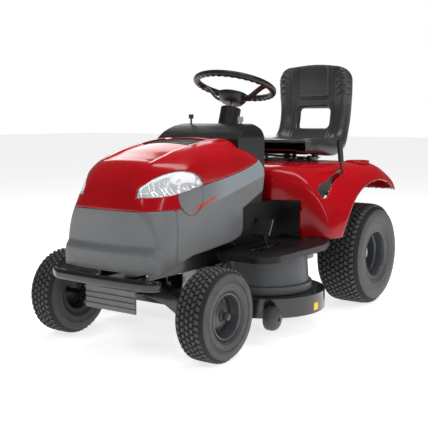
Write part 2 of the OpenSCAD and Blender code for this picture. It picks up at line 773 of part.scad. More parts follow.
module rear_tyre(side) at_rear(side) tyre(rear_tyre_r, rear_tyre_w, rear_rim_d / 2, rear_bead);
module rear_rim(side) at_rear(side) rim(rear_rim_d / 2, rear_bead, 14, 26, axle_r, -70, 36);
module rear_axle(side) at_rear(side) {
    rotate([0, 90, 0]) translate([0, 0, 20 - rear_track / 2]) cylinder(h = rear_track / 2 + 20, r = axle_r);
    rotate([0, 90, 0]) translate([0, 0, 36]) cylinder(h = 6, r = 22);
    rotate([0, 90, 0]) translate([0, 0, 30]) cylinder(h = 10, r = axle_r);
}
module rear_tyre_left() color("dimgray") place() rear_tyre(1);
module rear_tyre_right() color("dimgray") place() rear_tyre(-1);
module rear_rim_left() color("gray") place() rear_rim(1);
module rear_rim_right() color("gray") place() rear_rim(-1);
module rear_axle_left() color("silver") place() rear_axle(1);
module rear_axle_right() color("silver") place() rear_axle(-1);

// ---------- cutting deck ----------

deck_top = deck_z + deck_h;
spindle_x = [deck_x + spindle_gap / 2, deck_x - spindle_gap / 2];
lug_z = 176;
scalp = [deck_left - 55, deck_y - 242, 95];
scalp_r = 45;
hinge_out = 10;
chute_front = 190;

module deck_plan(r)
    union() {
        for (x = spindle_x)
            translate([x, deck_y]) circle(r = r, $fn = 96);
        translate([spindle_x[1], deck_y - r]) square([spindle_gap, r * 2 - 60]);
    }

module deck_shell() color("black") place() {
    difference() {
        union() {
            translate([0, 0, deck_z]) linear_extrude(deck_h) deck_plan(deck_r);
            // discharge chute
            translate([deck_right, deck_y - chute_front, deck_z + 8]) cube([120, 230, deck_h - 8]);
        }
        translate([0, 0, deck_z - 1]) linear_extrude(deck_h + 1 - deck_t) deck_plan(deck_r - deck_t);
        translate([deck_right - 1, deck_y - chute_front + deck_t, deck_z - 1])
            cube([130, 230 - 2 * deck_t, deck_h + 1 - deck_t]);
        for (x = spindle_x)
            translate([x, deck_y, deck_z]) cylinder(h = 200, r = 12 + fit);
    }
    // hinge pin of the discharge deflector
    for (y = [deck_y - 184, deck_y + 20])
        translate([deck_right - hinge_out - 6, y, deck_top - 8]) cube([hinge_out + 10, 12, 14]);
    y_cylinder([deck_right - hinge_out, deck_y - 76, deck_top], 216, 3);
    // spindle housings
    for (x = spindle_x)
        translate([x, deck_y, deck_top])
            difference() {
                cylinder(h = 30, r = 40);
                translate([0, 0, -1]) cylinder(h = 40, r = 12 + fit);
            }
    // lugs that slide on the frame's guide rods
    for (side = [1, -1], y = hanger_y)
        translate([side * hanger_x, y, deck_top])
            difference() {
                translate([-18, -18, 0]) cube([36, 36, 60]);
                translate([0, 0, 12]) cylinder(h = 100, r = hanger_r + fit);
            }
    // brackets of the anti-scalp wheels
    for (s = [1, -1]) {
        x = s > 0 ? scalp[0] : 2 * deck_x - scalp[0];
        plate_x = x - s * 30;
        y1 = s > 0 ? deck_y - sqrt(pow(deck_r, 2) - pow(plate_x - spindle_x[0], 2)) + 1 : deck_y - chute_front + 2;
        x_prism(concat([[y1, deck_z + 20], [y1, deck_z + 50]], arc(scalp[1], scalp[2], 14, 90, 270, 8)),
            plate_x - 3, plate_x + 3);
        x_cylinder([x - s * 2, scalp[1], scalp[2]], 50, 6);
    }
}

cover_z0 = deck_top;
// Drum-shaped belt cover over the left spindle and its forward corner plate.
module deck_belt_cover() color("dimgray") place() {
    x = spindle_x[0];
    difference() {
        union() {
            translate([x, deck_y, cover_z0]) cylinder(h = 34, r = 196);
            translate([x, deck_y, cover_z0 + 34]) cylinder(h = 110, r1 = 184, r2 = 176);
        }
        translate([x, deck_y, cover_z0 - 1]) cylinder(h = 34 + 1 - wall, r = 190);
        translate([x, deck_y, cover_z0]) cylinder(h = 144 - wall, r = 168);
        // flat inner side beside the guide rods and the frame
        translate([-400, -400, 0]) cube([hanger_x + 30 + 400, 800, 500]);
    }
}

module discharge_deflector() color("black") place() {
    y0 = deck_y - 185;
    x0 = deck_right - hinge_out;
    difference() {
        union() {
            y_prism([[x0 - 4, deck_top - 2], [x0 - 4, deck_top + 2], [deck_right - deflector_l, deck_top - 34],
                [deck_right - deflector_l, deck_top - 38]], y0, y0 + 220);
            y_cylinder([x0, y0 + 110, deck_top], 190, 7);
        }
        for (y = [y0 - 1, y0 + 203])
            translate([x0 - 14, y, deck_top - 20]) cube([40, 18, 40]);
        y_cylinder([x0, y0 + 110, deck_top], 400, 3 + fit);
    }
}

// Anti-scalp wheel with a domed outside; s is +1 on the left.
module scalp_wheel(s) {
    x = s > 0 ? scalp[0] : 2 * deck_x - scalp[0];
    translate([x, scalp[1], scalp[2]]) rotate([0, 90 * s, 0]) rotate_extrude($fn = 64)
        polygon([[6 + fit, -22], [scalp_r - 5, -22], [scalp_r, -16], [scalp_r, 6], [scalp_r - 8, 20],
            [20, 28], [6 + fit, 30]]);
}
module scalp_wheel_left() color("dimgray") place() scalp_wheel(1);
module scalp_wheel_right() color("dimgray") place() scalp_wheel(-1);

// Spindle shaft with its pulley and blade.
module blade_spindle(x, phase) translate([x, deck_y, 0]) {
    translate([0, 0, deck_z + 12]) cylinder(h = deck_top + 76 - deck_z - 12, r = 12);
    translate([0, 0, deck_top + 31]) rotate_extrude() polygon([[11, 0], [60, 0], [60, 4], [52, 9], [60, 14], [60, 18],
        [11, 18]]);
    translate([0, 0, deck_z + 12])
        rotate([0, 0, phase])
            intersection() {
                translate([-blade_l / 2, -27, 0]) cube([blade_l, 54, 5]);
                cylinder(h = 10, r = blade_l / 2);
            }
    translate([0, 0, deck_z + 17]) cylinder(h = deck_h - deck_t - 18, r = 22);
}
module blade_spindle_left() color("silver") place() blade_spindle(spindle_x[0], 8);
module blade_spindle_right() color("silver") place() blade_spindle(spindle_x[1], 8);

module engine_pulley() color("silver") place() translate([0, front_y + 200, 0]) {
    translate([0, 0, 246]) rotate_extrude() polygon([[0, 0], [58, 0], [58, 4], [50, 9], [58, 14], [58, 18], [0, 18]]);
    translate([0, 0, 262]) cylinder(h = rail_top + rail_t - gap - 262, r = 13);
}

// ---------- seat ----------

module seat_slider() color("black") place() {
    y0 = seat_hinge[1] - 18;
    translate([-95, y0, slider_z]) cube([190, 238, slider_t]);
    for (side = [1, -1])
        on_side(side)
            x_prism(concat([[seat_hinge[1] + 12, slider_z]], arc(seat_hinge[1], seat_hinge[2], 8, 0, 180, 8),
                [[seat_hinge[1] - 8, slider_z]]), 70, 76);
    x_cylinder([0, seat_hinge[1], seat_hinge[2]], 176, 5);
    // arm that carries the clamp knob
    difference() {
        translate([90, knob_at[1] - 10, slider_z]) cube([34, 20, 14]);
        x_cylinder(knob_at, 200, 3 + fit);
    }
    // springs under the rear of the pan
    for (x = [-78, 78])
        translate([x, seat_hinge[1] + 195, slider_z + slider_t]) cylinder(h = 26, r = 17);
}

pan_rise = 0.115;
function pan_z(y) = seat_hinge[2] + 12 + (y - seat_hinge[1]) * pan_rise;

module seat_pan() color("black") place() {
    y0 = seat_hinge[1] - 12;
    y1 = seat_hinge[1] + 225;
    difference() {
        union() {
            x_prism([[y0, pan_z(y0) - 3], [y1, pan_z(y1) - 3], [y1, pan_z(y1)], [y0, pan_z(y0)]], -150, 150);
            for (side = [1, -1])
                on_side(side)
                    x_prism(concat([[seat_hinge[1] - 9, pan_z(y0) - 1]], arc(seat_hinge[1], seat_hinge[2], 9, 180, 360, 8),
                        [[seat_hinge[1] + 9, pan_z(y0) + 1]]), 77, 83);
        }
        x_cylinder([0, seat_hinge[1], seat_hinge[2]], 400, 5 + fit);
    }
}

function seat_side() = concat(
    [[720, pan_z(720) + gap], [seat_hinge[1] - 22, pan_z(seat_hinge[1] - 22) + gap], [402, 690]],
    arc(432, 706, 34, 190, 100, 5),
    [[470, 741], [560, 731], [660, 728]],
    arc(690, 800, 70, 285, 350, 6),
    [[764, 880], [754, 960], [750, 1040], [752, 1088]],
    arc(776, 1090, 25, 170, 20, 5),
    [[810, 1040], [815, 960], [812, 880], [800, 820], [770, 768]]);

module seat() color("black") place() {
    r = 62;
    w = seat_half_w;
    difference() {
        intersection() {
            x_prism(seat_side(), -w, w);
            y_prism(both_sides(concat([[w - 30, 650], [w, 700], [w, 1000]], arc(w - r, 1052, r, 0, 82, 6))), 350, 900);
            translate([0, 0, 600]) linear_extrude(600) polygon(both_sides(concat(
                arc(w - 45, 446, 45, -85, 0, 6), [[w, 620], [w, 860]])));
        }
        translate([-85, 700, 797]) cube([170, 160, 91]);
    }
}

knob_at = [150, seat_hinge[1] + 15, slider_z + 7];
module seat_knob() color("black") place() {
    x_cylinder(knob_at, 16, 13);
    bar([96, knob_at[1], knob_at[2]], knob_at, 3);
}

// ---------- controls ----------

lift_bend = lift_pivot + [0, -110 * sin(lift_angle), 110 * cos(lift_angle)];
lift_tip = lift_pivot + [0, -350 * sin(lift_angle), 350 * cos(lift_angle)];
module lift_lever() color("black") place() {
    x0 = lift_pivot[0];
    across = [lift_x - x0, 0, 0];
    bar([rail_half_w - 15, lift_pivot[1], lift_pivot[2]], lift_pivot, lever_shaft_r);
    bar(lift_pivot, lift_bend, 7);
    bar(lift_bend, lift_bend + across, 7);
    bar(lift_bend + across, lift_tip + across, 5);
    translate(lift_bend) sphere(r = 8.5);
    translate(lift_bend + across) sphere(r = 8.5);
    bar(lift_tip + across - [0, -90 * sin(lift_angle), 90 * cos(lift_angle)], lift_tip + across, 12);
    translate(lift_tip + across) sphere(r = 12.8);
}

module drive_lever() color("black") place() {
    x0 = -drive_pivot[0];
    y = drive_pivot[1];
    z = drive_pivot[2];
    bar([x0, y, z], [-rail_half_w + 15, y, z], lever_shaft_r);
    bar([x0, y, z], [x0, y, z + 52], 7);
    bar([x0, y, z + 52], [-drive_x, y, z + 52], 7);
    bar([-drive_x, y, z + 52], [-drive_x, y, 790], 5);
    translate([x0, y, z + 52]) sphere(r = 8.5);
    translate([-drive_x, y, z + 52]) sphere(r = 8.5);
    translate([-drive_x, y, 804]) sphere(r = 20);
}

module brake_pedal() color("dimgray") place() {
    y = pedal_pivot[1];
    z = pedal_pivot[2];
    x_cylinder([(pedal_x + rail_half_w) / 2, y, z], pedal_x - rail_half_w + 16, pedal_shaft_r);
    bar([pedal_x, y, z], [pedal_x, y - 66, 428], pedal_shaft_r);
    translate([pedal_x - 42, y - 66, 424]) rotate([62, 0, 0]) translate([0, -30, -6]) cube([84, 66, 7]);
}

module steering_wheel() color("black") place()
    column_frame() {
        rotate_extrude($fn = 96) translate([wheel_r - wheel_tube_r, 0]) circle(r = wheel_tube_r, $fn = 32);
        translate([0, 0, hub_t]) difference() {
            rotate_extrude() polygon([[0, -26], [42, -26], [56, -10], [64, 14], [64, 22], [58, 22], [50, 6], [0, 2]]);
            translate([0, 0, -30]) cylinder(h = 26, r = shaft_r);
        }
        for (side = [1, -1])
            on_side(side)
                y_prism([[48, hub_t - 12], [60, hub_t - 14], [wheel_r - 16, -10], [wheel_r - 12, 2],
                    [wheel_r - 24, 4], [56, hub_t + 2]], -19, 19);
    }

module steering_shaft() color("silver") place()
    column_frame() translate([0, 0, shaft_low + 2]) cylinder(h = hub_t - 4 - shaft_low - 2, r = shaft_r);

throttle = [-125, nose_y + 668, 824];
module throttle_lever() color("red") place() {
    x_cylinder([throttle[0], throttle[1], throttle[2] - 22], 5, 9);
    translate([throttle[0] - 2.5, throttle[1] - 3, throttle[2] - 22]) cube([5, 6, 40]);
    translate([throttle[0] - 9, throttle[1] - 5, throttle[2] + 18]) cube([18, 10, 18]);
}

key_at = [125, nose_y + 672, 824];
module key_frame() translate(key_at) children();
module ignition_key() color("silver") place()
    key_frame() {
        translate([0, 0, -20]) cylinder(h = 24, r = 5);
        translate([-12, -2, 4]) cube([24, 4, 22]);
    }

module parking_brake_lever() color("black") place() {
    x_cylinder([park_x, park_y, 560], 34, park_pin_r);
    x_cylinder([park_x, park_y, 560], 20, 8);
    bar([park_x, park_y, 560], [park_x, park_y, 742], 5);
    translate([park_x, park_y, 740]) cylinder(h = 16, r1 = 14, r2 = 16);
}

chassis_frame();
bumper();
axle_guard();
engine();
muffler();
battery();
dashboard();
steering_column();
centre_tunnel();
rear_body();
footrest_left();
footrest_right();
transaxle();
hitch_plate();
seat_bracket();
hood_shell();
hood_nose();
side_panel_left();
side_panel_right();
hood_vent();
headlight_lens_left();
headlight_lens_right();
headlight_reflector_left();
headlight_reflector_right();
headlight_cover_left();
headlight_cover_right();
front_axle_beam();
stub_axle_left();
stub_axle_right();
tie_rod();
front_tyre_left();
front_rim_left();
front_tyre_right();
front_rim_right();
rear_tyre_left();
rear_rim_left();
rear_axle_left();
rear_tyre_right();
rear_rim_right();
rear_axle_right();
deck_shell();
deck_belt_cover();
discharge_deflector();
scalp_wheel_left();
scalp_wheel_right();
blade_spindle_left();
blade_spindle_right();
engine_pulley();
seat_slider();
seat_pan();
seat();
seat_knob();
lift_lever();
drive_lever();
brake_pedal();
steering_wheel();
steering_shaft();
throttle_lever();
ignition_key();
parking_brake_lever();
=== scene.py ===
import bmesh
import bpy
import numpy as np
from mathutils import Matrix, Vector


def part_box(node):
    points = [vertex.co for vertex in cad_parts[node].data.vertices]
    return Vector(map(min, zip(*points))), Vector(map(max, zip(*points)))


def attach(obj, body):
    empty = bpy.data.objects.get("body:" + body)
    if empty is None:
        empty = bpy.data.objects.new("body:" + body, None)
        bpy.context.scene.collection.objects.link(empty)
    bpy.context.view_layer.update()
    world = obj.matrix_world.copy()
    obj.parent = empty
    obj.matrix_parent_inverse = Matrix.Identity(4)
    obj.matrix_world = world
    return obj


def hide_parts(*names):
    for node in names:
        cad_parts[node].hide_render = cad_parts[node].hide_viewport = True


# ---------------------------------------------------------------- the mower's frame
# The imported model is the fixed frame. Every size below is in metres from the mower's own
# centre: X from the centre plane, Y from half way between the axles, Z from the ground.
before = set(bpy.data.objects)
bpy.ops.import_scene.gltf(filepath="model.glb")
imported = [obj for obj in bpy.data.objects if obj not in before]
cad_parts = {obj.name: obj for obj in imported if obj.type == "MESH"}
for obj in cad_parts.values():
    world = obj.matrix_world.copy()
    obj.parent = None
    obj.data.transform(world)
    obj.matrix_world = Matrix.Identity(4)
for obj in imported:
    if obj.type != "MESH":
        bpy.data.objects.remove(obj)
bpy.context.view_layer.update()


def middle(node, axis):
    """Half way between the lowest and the highest corner of a node along one axis."""
    low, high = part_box(node)
    return (low[axis] + high[axis]) / 2


centre = np.array([
    (middle("rear_tyre_left", 0) + middle("rear_tyre_right", 0)) / 2,
    (middle("front_tyre_left", 1) + middle("rear_tyre_left", 1)) / 2,
    0.0,
])

# ---------------------------------------------------------------- camera and studio
# A long lens stands at hip height off the left front corner. Broad lamps give plain, even
# light and make no highlights. Narrow strips and a back lamp draw the highlights in the paint.
camera_data = bpy.data.cameras.new("camera")
camera_data.lens = 68.03
camera_data.sensor_width = 36
camera_data.shift_x = -0.0276
camera_data.shift_y = -0.0343
camera = bpy.data.objects.new("camera", camera_data)
bpy.context.scene.collection.objects.link(camera)
aim = Vector((centre[0], centre[1], 0.5))
camera.location = Vector((centre[0] + 1.973, centre[1] - 2.802, 0.847))
camera.rotation_euler = (aim - camera.location).to_track_quat("-Z", "Y").to_euler()
bpy.context.scene.camera = camera


def soft_lamp(name, place, size, power, tall=None, mirrored=True):
    """An area lamp at place, turned towards the middle of the mower. One that isn't mirrored
    lights the paint but makes no highlight in it."""
    data = bpy.data.lights.new(name, "AREA")
    data.size = size
    if tall:
        data.shape = "RECTANGLE"
        data.size_y = tall
    data.energy = power
    lamp = bpy.data.objects.new(name, data)
    lamp.visible_glossy = mirrored
    lamp.location = Vector(place)
    lamp.rotation_euler = (Vector((0.1, 0, 0.5)) - lamp.location).to_track_quat("-Z", "Y").to_euler()
    bpy.context.scene.collection.objects.link(lamp)


soft_lamp("key_lamp", (-1.6, -3.2, 3.6), 1.7, 62, mirrored=False)
soft_lamp("side_lamp", (3.8, 0.4, 2.4), 1.8, 60, mirrored=False)
soft_lamp("strip_lamp", (3.3, -1.5, 1.9), 0.16, 9, tall=2.2)
soft_lamp("top_lamp", (0.2, 0.8, 4.4), 3.0, 185, mirrored=False)
soft_lamp("back_lamp", (-2.3, 2.7, 2.1), 2.2, 30)
soft_lamp("front_lamp", (1.0, -3.6, 3.2), 0.5, 9)
soft_lamp("over_lamp", (0.9, 0.1, 3.4), 0.5, 26, tall=2.8)
world = bpy.data.worlds.new("white_room")
world.use_nodes = True
sky = world.node_tree
seen = sky.nodes.new("ShaderNodeLightPath")
brightness = sky.nodes.new("ShaderNodeMapRange")
brightness.inputs["To Min"].default_value = 0.26
brightness.inputs["To Max"].default_value = 1.0
sky.links.new(seen.outputs["Is Camera Ray"], brightness.inputs["Value"])
mirror = sky.nodes.new("ShaderNodeMath")
mirror.operation = "MULTIPLY_ADD"
mirror.inputs[1].default_value = -0.12
sky.links.new(seen.outputs["Is Glossy Ray"], mirror.inputs[0])
sky.links.new(brightness.outputs[0], mirror.inputs[2])
sky.links.new(mirror.outputs[0], sky.nodes["Background"].inputs["Strength"])
sky.nodes["Background"].inputs["Color"].default_value = (1, 1, 1, 1)
bpy.context.scene.world = world
bpy.context.scene.view_settings.view_transform = "Standard"

# ---------------------------------------------------------------- hood
# The hood is a thin moulded shell that tilts about a pin low at the front. Its upper half is
# deep gloss red, and its nose and side panels are satin grey, clipped on along one long seam.
class Wire:
    """A shader socket on which sums can be written: each operator adds one Math node."""

    def __init__(self, tree, socket):
        self.tree = tree
        self.socket = socket

    def math(self, operation, *terms):
        return self.node("ShaderNodeMath", {"operation": operation}, terms)

    def node(self, kind, settings=None, terms=(), output=0, **named):
        """Adds a node, makes its settings, then sets or links its sockets by place or by name."""
        made = self.tree.nodes.new(kind)
        for key, value in (settings or {}).items():
            setattr(made, key, value)
        for key, value in list(enumerate(terms)) + [(k.replace("_", " "), v) for k, v in named.items()]:
            if isinstance(value, Wire):
                self.tree.links.new(value.socket, made.inputs[key])
            else:
                made.inputs[key].default_value = value
        return Wire(self.tree, made.outputs[output])

    def __add__(self, other):
        return self.math("ADD", self, other)

    __radd__ = __add__

    def __mul__(self, other):
        return self.math("MULTIPLY", self, other)

    __rmul__ = __mul__

    def __sub__(self, other):
        return self.math("SUBTRACT", self, other)

    def __rsub__(self, other):
        return self.math("SUBTRACT", other, self)

    def part(self, axis):
        """One coordinate of a point."""
        return self.node("ShaderNodeSeparateXYZ", {}, (self,), axis)

    def noise(self, scale, detail):
        """Noise read at a point."""
        return self.node("ShaderNodeTexNoise", {}, (), Vector=self, Scale=scale, Detail=detail)

    def step(self, low, high):
        """0 below low, 1 above high, smooth between them."""
        return self.node("ShaderNodeMapRange", {"interpolation_type": "SMOOTHSTEP"},
                         (self, low, high, 0.0, 1.0))

    def mix(self, first, second):
        """The first colour where this is 0, the second where it is 1."""
        made = self.tree.nodes.new("ShaderNodeMix")
        made.data_type = "RGBA"
        self.tree.links.new(self.socket, made.inputs[0])
        for key, value in ((6, first), (7, second)):
            if isinstance(value, Wire):
                self.tree.links.new(value.socket, made.inputs[key])
            else:
                made.inputs[key].default_value = (*value, 1)
        return Wire(self.tree, made.outputs[2])


def finish_of(name, colour, roughness, metallic=0.0, coat=0.0, grain=0.0, grain_size=900.0,
              variation=0.12, worn=0.1, tint=None, extra=None, **fixed):
    """A surface finish. Two noises in object space vary its colour and its roughness, a fine
    one gives it grain in relief, and tint(point, colour) may repaint it by place."""
    material = bpy.data.materials.new(name)
    material.use_nodes = True
    tree = material.node_tree
    shader = tree.nodes["Principled BSDF"]
    start = Wire(tree, shader.outputs[0])
    point = start.node("ShaderNodeTexCoord", output=3)
    broad = point.noise(7.0, 4.0)
    fine = point.noise(grain_size, 3.0)
    darker = tuple(c * (1 - variation) for c in colour)
    lighter = tuple(min(1.0, c * (1 + variation)) for c in colour)
    paint = broad.step(0.3, 0.7).mix(darker, lighter)
    if tint:
        paint = tint(point, paint)
    tree.links.new(paint.socket, shader.inputs["Base Color"])
    rough = roughness + (broad - 0.5) * worn + (fine - 0.5) * (worn * 0.6)
    tree.links.new(rough.socket, shader.inputs["Roughness"])
    shader.inputs["Metallic"].default_value = metallic
    shader.inputs["Coat Weight"].default_value = coat
    shader.inputs["Coat Roughness"].default_value = 0.06
    for key, value in fixed.items():
        shader.inputs[key.replace("_", " ")].default_value = value
    if grain or extra:
        height = fine
        if extra:
            height = extra(point, fine)
        bump = start.node("ShaderNodeBump", {}, (), 0, Height=height, Distance=0.001, Strength=grain or 0.3)
        tree.links.new(bump.socket, shader.inputs["Normal"])
    return material


def mesh_of(name, points, faces, material, smooth=40):
    """A piece from whole arrays: its points, moved out to the mower's centre, and its faces."""
    mesh = bpy.data.meshes.new(name)
    faces = faces.tolist() if isinstance(faces, np.ndarray) else faces
    mesh.from_pydata((points.reshape(-1, 3) + centre).tolist(), [], faces)
    mesh.update()
    piece = bpy.data.objects.new(name, mesh)
    bpy.context.scene.collection.objects.link(piece)
    mesh.materials.append(material)
    tidy(piece, smooth)
    return piece


def tidy(piece, smooth=40):
    """Merges doubles, turns the faces outwards and shades smooth up to an angle in degrees."""
    work = bmesh.new()
    work.from_mesh(piece.data)
    bmesh.ops.remove_doubles(work, verts=work.verts, dist=1e-5)
    bmesh.ops.dissolve_degenerate(work, edges=work.edges, dist=1e-6)
    bmesh.ops.recalc_face_normals(work, faces=work.faces)
    work.to_mesh(piece.data)
    work.free()
    piece.data.shade_smooth()
    if smooth < 180:
        piece.data.set_sharp_from_angle(angle=np.radians(smooth))


def modify(piece, kind, **settings):
    """Adds a modifier with its settings."""
    made = piece.modifiers.new(kind.lower(), kind)
    for key, value in settings.items():
        setattr(made, key, value)
    return made


def grid_faces(rows, columns, round_rows=False, round_columns=False):
    """The quads of a grid of rows x columns points, joined up round either way."""
    last_r = rows if round_rows else rows - 1
    last_c = columns if round_columns else columns - 1
    r, c = np.meshgrid(np.arange(last_r), np.arange(last_c), indexing="ij")
    r2, c2 = (r + 1) % rows, (c + 1) % columns
    return np.stack([r * columns + c, r * columns + c2, r2 * columns + c2, r2 * columns + c], -1).reshape(-1, 4)


def smooth_line(knots, at):
    """A curve through the knots (place, value) read at the places at: monotone cubic steps."""
    knots = np.array(knots, float)
    x, y = knots[:, 0], knots[:, 1]
    step, slope = np.diff(x), np.diff(y) / np.diff(x)
    tangent = np.empty_like(y)
    tangent[0], tangent[-1] = slope[0], slope[-1]
    same = slope[:-1] * slope[1:] > 0
    tangent[1:-1] = np.where(same, 2 * slope[:-1] * slope[1:] / np.where(same, slope[:-1] + slope[1:], 1), 0)
    at = np.clip(at, x[0], x[-1])
    k = np.clip(np.searchsorted(x, at) - 1, 0, len(step) - 1)
    t = (at - x[k]) / step[k]
    return ((2 * t**3 - 3 * t**2 + 1) * y[k] + (t**3 - 2 * t**2 + t) * step[k] * tangent[k]
            + (3 * t**2 - 2 * t**3) * y[k + 1] + (t**3 - t**2) * step[k] * tangent[k + 1])


def ease(value, low, high):
    """0 below low, 1 above high, smooth between them."""
    t = np.clip((value - low) / (high - low), 0, 1)
    return t * t * (3 - 2 * t)


def round_max(first, second, radius):
    """The larger of two distances, with the corner between them rounded over radius."""
    h = np.maximum(radius - np.abs(first - second), 0) / radius
    return np.maximum(first, second) + h * h * radius / 4


def fix(piece, body, slot=None, *nodes):
    """Fastens a piece to its body and hides the solids it stands for. Its slot argument is not used."""
    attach(piece, body)
    if nodes:
        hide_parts(*nodes)
    return piece


def red_tint(point, paint):
    """Very fine flecks in the lacquer."""
    fleck = point.noise(2600.0, 1.0)
    return fleck.step(0.62, 0.8).mix(paint, (0.42, 0.008, 0.014))


red_paint = finish_of("red_paint", (0.29, 0.0, 0.003), 0.17, coat=0.3, grain=0.02, variation=0.07,
                      worn=0.05, tint=red_tint, Specular_IOR_Level=0.26)


def panel_tint(point, paint):
    """Pale scuffs along the lower edge, where grass and grit are thrown up."""
    z = point.part(2)
    dust = point.noise(38.0, 6.0)
    y = point.part(1) - float(centre[1])
    band = (z - (y + 0.371) * 0.232).step(0.5425, 0.5445) * y.step(-0.47, -0.30)
    paint = (band * 0.8).mix(paint, (0.21, 0.245, 0.275))
    stripe_low = (z - (y + 0.542) * 0.33).step(0.503, 0.505)
    stripe_high = 1 - (z - (y + 0.542) * 0.265).step(0.520, 0.522)
    stripe = stripe_low * stripe_high * y.step(-0.535, -0.50) * (1 - y.step(-0.41, -0.358))
    paint = stripe.mix(paint, (0.42, 0.03, 0.012))
    return ((1 - z.step(0.3, 0.45)) * dust.step(0.45, 0.75) * 0.35).mix(paint, (0.2, 0.195, 0.185))


grey_panel = finish_of("grey_panel", (0.125, 0.130, 0.134), 0.38, grain=0.22, grain_size=1400.0,
                       variation=0.05, tint=panel_tint, Specular_IOR_Level=0.5)
dark_trim = finish_of("dark_trim", (0.032, 0.033, 0.036), 0.42, grain=0.3, grain_size=1300.0)

nose_line = [(0.30, -0.743), (0.33, -0.745), (0.374, -0.7455), (0.380, -0.7440), (0.396, -0.7310),
             (0.403, -0.7290), (0.46, -0.732), (0.525, -0.736), (0.585, -0.723), (0.645, -0.695), (0.70, -0.655),
             (0.76, -0.60)]
top_line = [(-0.70, 0.672), (-0.65, 0.697), (-0.60, 0.710), (-0.557, 0.721), (-0.497, 0.738), (-0.397, 0.758),
            (-0.316, 0.770), (-0.215, 0.777), (-0.145, 0.758), (-0.051, 0.706), (-0.03, 0.69)]
side_line = [(0.30, 0.226), (0.36, 0.231), (0.44, 0.235), (0.60, 0.2345), (0.68, 0.229), (0.76, 0.205)]
corner_point = np.array([0.150, -0.733, 0.525])
corner_normal = np.array([0.5624, -0.7199, 0.4067])


def hood_depth(p):
    """How far a point is outside the hood's skin: the largest of its distances outside the nose
    profile, the crowned top, the two sides and the slanted corner faces, with rounded joins."""
    x, y, z = np.abs(p[..., 0]), p[..., 1], p[..., 2]
    nose = smooth_line(nose_line, z) + 0.010 * (x / 0.15) ** 2 - y
    sunk = 0.008 * (1 - ease(x, 0.104, 0.126)) * ease(y, -0.655, -0.60)
    top = z - smooth_line(top_line, y) + 0.02 * (x / 0.17) ** 2 + sunk
    side = x - smooth_line(side_line, z)
    slant = (np.stack([x, y, z], -1) - corner_point) @ corner_normal
    front = round_max(nose, round_max(side, slant, 0.08), 0.014)
    return round_max(front, top, 0.06)


def hood_point(along, around):
    """The hood's skin. Around is the angle about a line under the hood's top, from the left hem
    over the top to the right hem. Along runs back from the middle of the nose: first the rays
    tip over from straight ahead to straight out, then they move back along the line. The
    skin's depth along each ray comes from halving an interval."""
    tip = np.clip(along / 0.42, 0, 1) * np.pi / 2
    back = np.clip((along - 0.42) / 0.58, 0, 1)
    start = np.stack([0 * along, -0.54 + 0.515 * back, 0.48 + 0 * along], -1)
    ray = np.stack([np.sin(tip) * np.sin(around), -np.cos(tip), np.sin(tip) * np.cos(around)], -1)
    low, high = np.zeros_like(along), np.full_like(along, 0.6)
    for _ in range(26):
        half = (low + high) / 2
        inside = hood_depth(start + ray * half[..., None]) < 0
        low, high = np.where(inside, half, low), np.where(inside, high, half)
    return start + ray * low[..., None]


def trim(points, edge):
    """Cuts a grid of points along the line where edge is 0. Each point nearest the line slides
    onto it along its row or column, and only the quads on the negative side are kept."""
    points, edge = points.copy(), edge.copy()
    for axis in (0, 1):
        for turn in (1, -1):
            other_edge, other = np.roll(edge, turn, axis), np.roll(points, turn, axis)
            share = np.where(edge != other_edge, edge / np.where(edge == other_edge, 1, edge - other_edge), 1)
            move = (edge * other_edge < 0) & (share > 0) & (share <= 0.5)
            first = [slice(None), slice(None)]
            first[axis] = 0 if turn == 1 else -1
            move[tuple(first)] = False
            points = np.where(move[..., None], points + share[..., None] * (other - points), points)
            edge = np.where(move, 0, edge)
    rows, columns = edge.shape
    faces = grid_faces(rows, columns)
    keep = edge.reshape(-1)[faces].max(1) <= 1e-9
    mean = edge.reshape(-1)[faces].mean(1) < -1e-7
    faces = faces[keep & mean]
    used, index = np.unique(faces, return_inverse=True)
    return points.reshape(-1, 3)[used], index.reshape(-1, 4)


def outside_of(outline, y, z):
    """Signed distance in side view from a closed outline, negative inside it."""
    outline = np.array(outline, float)
    a, b = outline, np.roll(outline, -1, 0)
    flat = np.stack([y.ravel(), z.ravel()], -1)
    away = np.full(len(flat), 1e9)
    inside = np.zeros(len(flat), bool)
    for (ay, az), (by, bz) in zip(a, b):
        edge = np.array([by - ay, bz - az])
        t = np.clip(((flat - (ay, az)) @ edge) / (edge @ edge), 0, 1)
        away = np.minimum(away, np.hypot(*(flat - (ay, az) - t[:, None] * edge).T))
        cross = ((az > flat[:, 1]) != (bz > flat[:, 1]))
        inside ^= cross & (flat[:, 0] < (by - ay) * (flat[:, 1] - az) / (bz - az + 1e-12) + ay)
    return np.where(inside, -away, away).reshape(y.shape)


def rounded(outline, steps=8):
    """A closed outline smoothed by a curve through its points (Catmull-Rom)."""
    p = np.array(outline, float)
    before, after, later = np.roll(p, 1, 0), np.roll(p, -1, 0), np.roll(p, -2, 0)
    t = np.linspace(0, 1, steps, endpoint=False)[None, :, None]
    p, before, after, later = (q[:, None, :] for q in (p, before, after, later))
    line = 0.5 * (2 * p + (after - before) * t + (2 * before - 5 * p + 4 * after - later) * t**2
                  + (3 * p - before - 3 * after + later) * t**3)
    return line.reshape(-1, 2)


